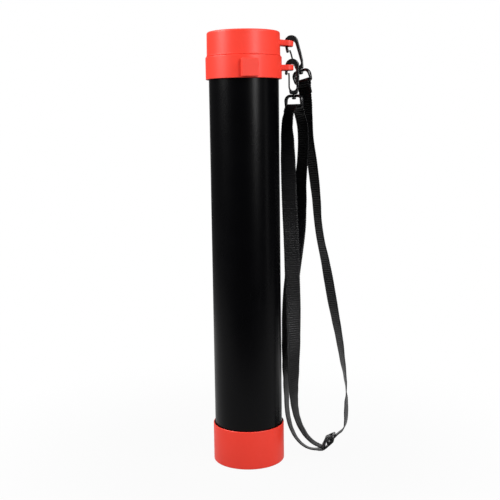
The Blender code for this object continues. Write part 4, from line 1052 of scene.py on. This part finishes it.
def strap_runs():
    """The ribbon's stations from end to end, in the runs that follow one another."""
    eye_a = eye_frame(*HOOKS["a"])
    eye_b = eye_frame(*HOOKS["b"])
    slider = slider_frame()
    shift_a = eye_a @ Vector((0, 0, EYE_BAR)) - ROUTE_EYE_A
    shift_b = eye_b @ Vector((0, 0, EYE_BAR)) - ROUTE_EYE_B
    shift_slider = Vector(SLIDER_PLACE) - ROUTE_SLIDER
    near = (1, 0, 0)
    side = (0, -1, 0)
    layer = LAYER_STEP / 2
    tail_middle = EYE_BAR - TAIL_LENGTH / 2
    end = SLIDER_SPAN / 2
    middle = (0, MIDDLE_BAR_RISE)
    return {
        "eye_a": [
            station(eye_a, (-TAIL_DRIFT, layer, EYE_BAR - TAIL_LENGTH), near),
            station(eye_a, (-TAIL_DRIFT / 2, layer, tail_middle), near),
            *fold(eye_a, "X", (0, EYE_BAR), EYE_FOLD_RADIUS, -20, 200, 9, near),
            station(eye_a, (-TAIL_DRIFT / 2, -layer, tail_middle), near),
        ],
        "strand_a": strand(STRAND_A, shift_a, shift_slider),
        "through": [
            *fold(slider, "Y", (end, 0), END_FOLD_RADIUS, -70, -130, 2, side),
            *fold(slider, "Y", middle, OVER_FOLD_RADIUS, 50, 130, 4, side),
            *fold(slider, "Y", (-end, 0), END_FOLD_RADIUS, -50, -180, 5, side),
        ],
        "strand_l": strand(STRAND_L, shift_slider, shift_b),
        "eye_b": [station(eye_b, (0, y * MM, EYE_BAR + z * MM), (-1, turn, 0)) for y, z, turn in ARCH_B],
        "strand_r": strand(STRAND_R, shift_b, shift_slider),
        "sewn": [
            *[station(slider, (x * MM, 0, z * MM), side) for x, z in SEWN_WAY_IN],
            *fold(slider, "Y", middle, SEWN_FOLD_RADIUS, -30, 195, 7, side),
            *[station(slider, (x * MM, 0, z * MM), side) for x, z in SEWN_WAY_BACK],
        ],
    }


def smooth_route(stations, step):
    """A smooth curve through the stations, and how far along it each of them lies."""
    places = [place for place, _ in stations]
    spans = [(after - before).length for before, after in zip(places, places[1:])]
    ways = [(after - before) / span for before, after, span in zip(places, places[1:], spans)]
    slopes = [ways[0]]
    for number in range(1, len(ways)):
        before, after = spans[number - 1], spans[number]
        slopes.append((ways[number - 1] * after + ways[number] * before) / (before + after))
    slopes.append(ways[-1])
    route = []
    marks = []
    length = 0.0
    for number, span in enumerate(spans):
        parts = max(2, round(span / step))
        for part in range(parts):
            t = part / parts
            place = (
                places[number] * (2 * t ** 3 - 3 * t ** 2 + 1)
                + slopes[number] * span * (t ** 3 - 2 * t ** 2 + t)
                + places[number + 1] * (3 * t ** 2 - 2 * t ** 3)
                + slopes[number + 1] * span * (t ** 3 - t ** 2)
            )
            if route:
                length += (place - route[-1][0]).length
            if part == 0:
                marks.append(length)
            across = stations[number][1].lerp(stations[number + 1][1], eased(t, 0, 1))
            route.append((place, across, length))
    length += (places[-1] - route[-1][0]).length
    route.append((places[-1], stations[-1][1], length))
    return route, [*marks, length]


def even_route(route, step):
    """The route again at even steps: place, direction of the width, facing and length so far."""
    total = route[-1][2]
    count = round(total / step)
    even = []
    index = 0
    for number in range(count + 1):
        along = total * number / count
        while index < len(route) - 2 and route[index + 1][2] < along:
            index += 1
        low, high = route[index:index + 2]
        share = (along - low[2]) / (high[2] - low[2])
        even.append((low[0].lerp(high[0], share), low[1].lerp(high[1], share), along))
    frames = []
    for number, (place, across, along) in enumerate(even):
        before = even[max(0, number - RUN_REACH)][0]
        run = (even[min(count, number + RUN_REACH)][0] - before).normalized()
        across = (across - run * across.dot(run)).normalized()
        frames.append((place, across, run.cross(across), along))
    return frames


def section():
    """The webbing's cross-section: across, outwards and the ribs' share, round the ribbon."""
    edge = WEB_THICKNESS / 2
    flat = WEB_WIDTH / 2 - edge
    face = [flat * (2 * n / FACE_COLUMNS - 1) for n in range(FACE_COLUMNS + 1)]
    half = [(x, edge, 1.0 if abs(x) < flat else EDGE_RIB_SHARE) for x in face]
    half += [(x, z, 0.0) for x, z in arc((flat, 0), edge, 90, -90, EDGE_COLUMNS)[1:-1]]
    return half + [(-x, -z, ribbed) for x, z, ribbed in half] + half[:1]


def ribbon(name, frames):
    """A length of ribbed webbing, with its weave's UV map in millimetres."""
    outline = section()
    columns = len(outline) - 1
    rows = len(frames) - 1
    shape = bmesh.new()
    bmesh.ops.create_grid(shape, x_segments=columns, y_segments=rows, size=1.0)
    weave = shape.loops.layers.uv.new("weave")
    lines = [0.0]
    for before, after in zip(outline, outline[1:]):
        lines.append(lines[-1] + (Vector(after[:2]) - Vector(before[:2])).length)
    for point in shape.verts:
        column = round((point.co.x + 1) / 2 * columns)
        place, across, out, along = frames[round((point.co.y + 1) / 2 * rows)]
        for loop in point.link_loops:
            loop[weave].uv = (lines[column] / MM, along / MM)
        x, z, ribbed = outline[column]
        valley = (1 - cos(2 * pi * along / RIB_PITCH)) / 2
        x -= EDGE_SCALLOP * (1 - ribbed) * valley * (1 if x > 0 else -1)
        z -= RIB_DEPTH * ribbed * valley * (1 if z > 0 else -1)
        point.co = place + across * x + out * z
    weld(shape)
    open_edges = [edge for edge in shape.edges if edge.is_boundary]
    bmesh.ops.holes_fill(shape, edges=open_edges, sides=0)
    weld(shape)
    return from_shape(name, shape)


def build_strap():
    """The one ribbon, in lengths that each cross one joint at most."""
    runs = strap_runs()
    first = {}
    stations = []
    for name, run in runs.items():
        first[name] = len(stations)
        stations += run
    route, marks = smooth_route(stations, ROUTE_STEP)
    frames = even_route(route, RIB_PITCH / RIB_STEPS)
    step = frames[-1][3] / (len(frames) - 1)
    begin = 0
    for name, run, row, bodies, start, end in STRAP_LENGTHS:
        stop = len(frames) - 1 if run is None else round(marks[first[run] + row] / step)
        piece = ribbon(name, frames[begin:stop + 1])
        finish(piece, name, "black_webbing", bodies[0], "shoulder_strap")
        if len(bodies) == 2:
            # Two bodies carry this length, so it comes off the first
            piece.parent = None
            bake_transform(piece)
        begin = stop


def tack(place, along, low, high):
    """A bar tack: one thread that zigzags over the upper face of the layers and back under them."""
    points = []
    for face, way in ((high, 1), (low, -1)):
        for number in range(TACK_TURNS + 1):
            across = way * (number / TACK_TURNS - 0.5) * TACK_WIDTH
            reach = TACK_REACH if number % 2 else -TACK_REACH
            points.append(place @ Vector((along + reach, across, face)))
    return points


def build_stitches():
    """The bar tacks at the strap's two sewn ends."""
    face = LAYER_STEP / 2 + WEB_THICKNESS / 2
    turn = rotation("Y", 90) @ rotation("X", 90)
    at_hem = eye_frame(*HOOKS["a"]) @ moved(-TAIL_DRIFT / 2, 0, EYE_BAR) @ turn
    threads = rod_along([tack(at_hem, along, -face, face) for along in EYE_TACKS], THREAD_RADIUS, 2)
    finish(threads, "stitches_eye_a", "black_webbing", "eye_a", "shoulder_strap")
    threads = rod_along([tack(slider_frame(), *SLIDER_TACK)], THREAD_RADIUS, 2)
    finish(threads, "stitches_slider", "black_webbing", "slider", "shoulder_strap")


def build_floor():
    """A pale floor that shows as white: near the object it keeps some of the object's shadow."""
    shape = bmesh.new()
    place = moved(0, FLOOR_RADIUS - FLOOR_FRONT, 0)
    bmesh.ops.create_circle(shape, cap_ends=True, segments=FLOOR_STEPS, radius=FLOOR_RADIUS, matrix=place)
    floor = from_shape("floor", shape)
    made, tree, shader = new_material("floor_white")
    wired(shader, {"Base Color": FLOOR_COLOUR, "Roughness": FLOOR_ROUGHNESS, "Specular IOR Level": 0.0})
    where = new_node(tree, "TexCoord").outputs["Object"]
    away = new_node(tree, "VectorMath", {0: where}, operation="LENGTH").outputs["Value"]
    path = new_node(tree, "LightPath").outputs
    seen = ranged(tree, away, FLOOR_SEEN, interpolation_type="SMOOTHSTEP")
    mirrored = ranged(tree, away, FLOOR_MIRRORED, interpolation_type="SMOOTHSTEP")
    part = reckoned(tree, "MULTIPLY", mirror_rays(tree, path), mirrored)
    share = reckoned(tree, "MULTIPLY_ADD", path["Is Camera Ray"], seen, part)
    white = new_node(tree, "Emission").outputs[0]
    mixed = new_node(tree, "MixShader", {0: share, 1: shader.outputs[0], 2: white}).outputs[0]
    wired(tree.nodes["Material Output"], {"Surface": mixed})
    floor.data.materials.append(made)


def light_world():
    """White to the eye, a low even light on matt surfaces, dark in mirrors except straight behind."""
    world = bpy.data.worlds.new("studio")
    bpy.context.scene.world = world
    world.use_nodes = True
    tree = world.node_tree
    path = new_node(tree, "LightPath").outputs
    view = new_node(tree, "TexCoord").outputs["Generated"]
    axes = new_node(tree, "SeparateXYZ", {"Vector": view}).outputs
    side = ranged(tree, axes["X"], SIDES_MIRRORED)
    behind = ranged(tree, axes["Y"], {"To Min": side, **BACK_MIRRORED})
    mixed = {"Factor": mirror_rays(tree, path), "A": AMBIENT, "B": behind}
    lit = new_node(tree, "Mix", mixed, data_type="FLOAT").outputs["Result"]
    mixed = {"Factor": path["Is Camera Ray"], "A": lit, "B": 1.0}
    strength = new_node(tree, "Mix", mixed, data_type="FLOAT").outputs["Result"]
    wired(tree.nodes["Background"], {"Color": (1, 1, 1, 1), "Strength": strength})


def add_lamps():
    """Soft rectangular lamps, each turned to its aim."""
    for name, place, aim, size, power in LAMPS:
        lamp = bpy.data.lights.new(name, "AREA")
        lamp.shape = "RECTANGLE"
        lamp.size, lamp.size_y = size
        lamp.energy = power
        holder = add_piece(name, lamp)
        holder.location = place
        holder.rotation_euler = (Vector(aim) - Vector(place)).to_track_quat("-Z", "Y").to_euler()


def build_camera():
    data = bpy.data.cameras.new("camera")
    data.sensor_width = SENSOR
    data.lens = FOCAL_PIXELS * SENSOR / PICTURE_PIXELS
    data.clip_end = CAMERA_SIGHT
    camera = add_piece("camera", data)
    turn = rotation("Z", CAMERA_YAW) @ rotation("X", 90 - CAMERA_TILT) @ rotation("Z", CAMERA_ROLL)
    camera.matrix_world = moved(*CAMERA_PLACE) @ turn
    bpy.context.scene.camera = camera


MOULDED = make_moulded_group()
MATERIALS = {plastic[0]: moulded_material(*plastic) for plastic in PLASTICS}
MATERIALS["rivet_steel"] = steel_material()
MATERIALS["black_webbing"] = webbing_material()
build_tube()
build_base_cap()
build_ring()
build_fingers()
build_collar()
build_lid()
build_hooks()
build_slider()
build_strap()
build_stitches()
build_floor()
light_world()
add_lamps()
build_camera()
bpy.context.scene.view_settings.view_transform = "Standard"
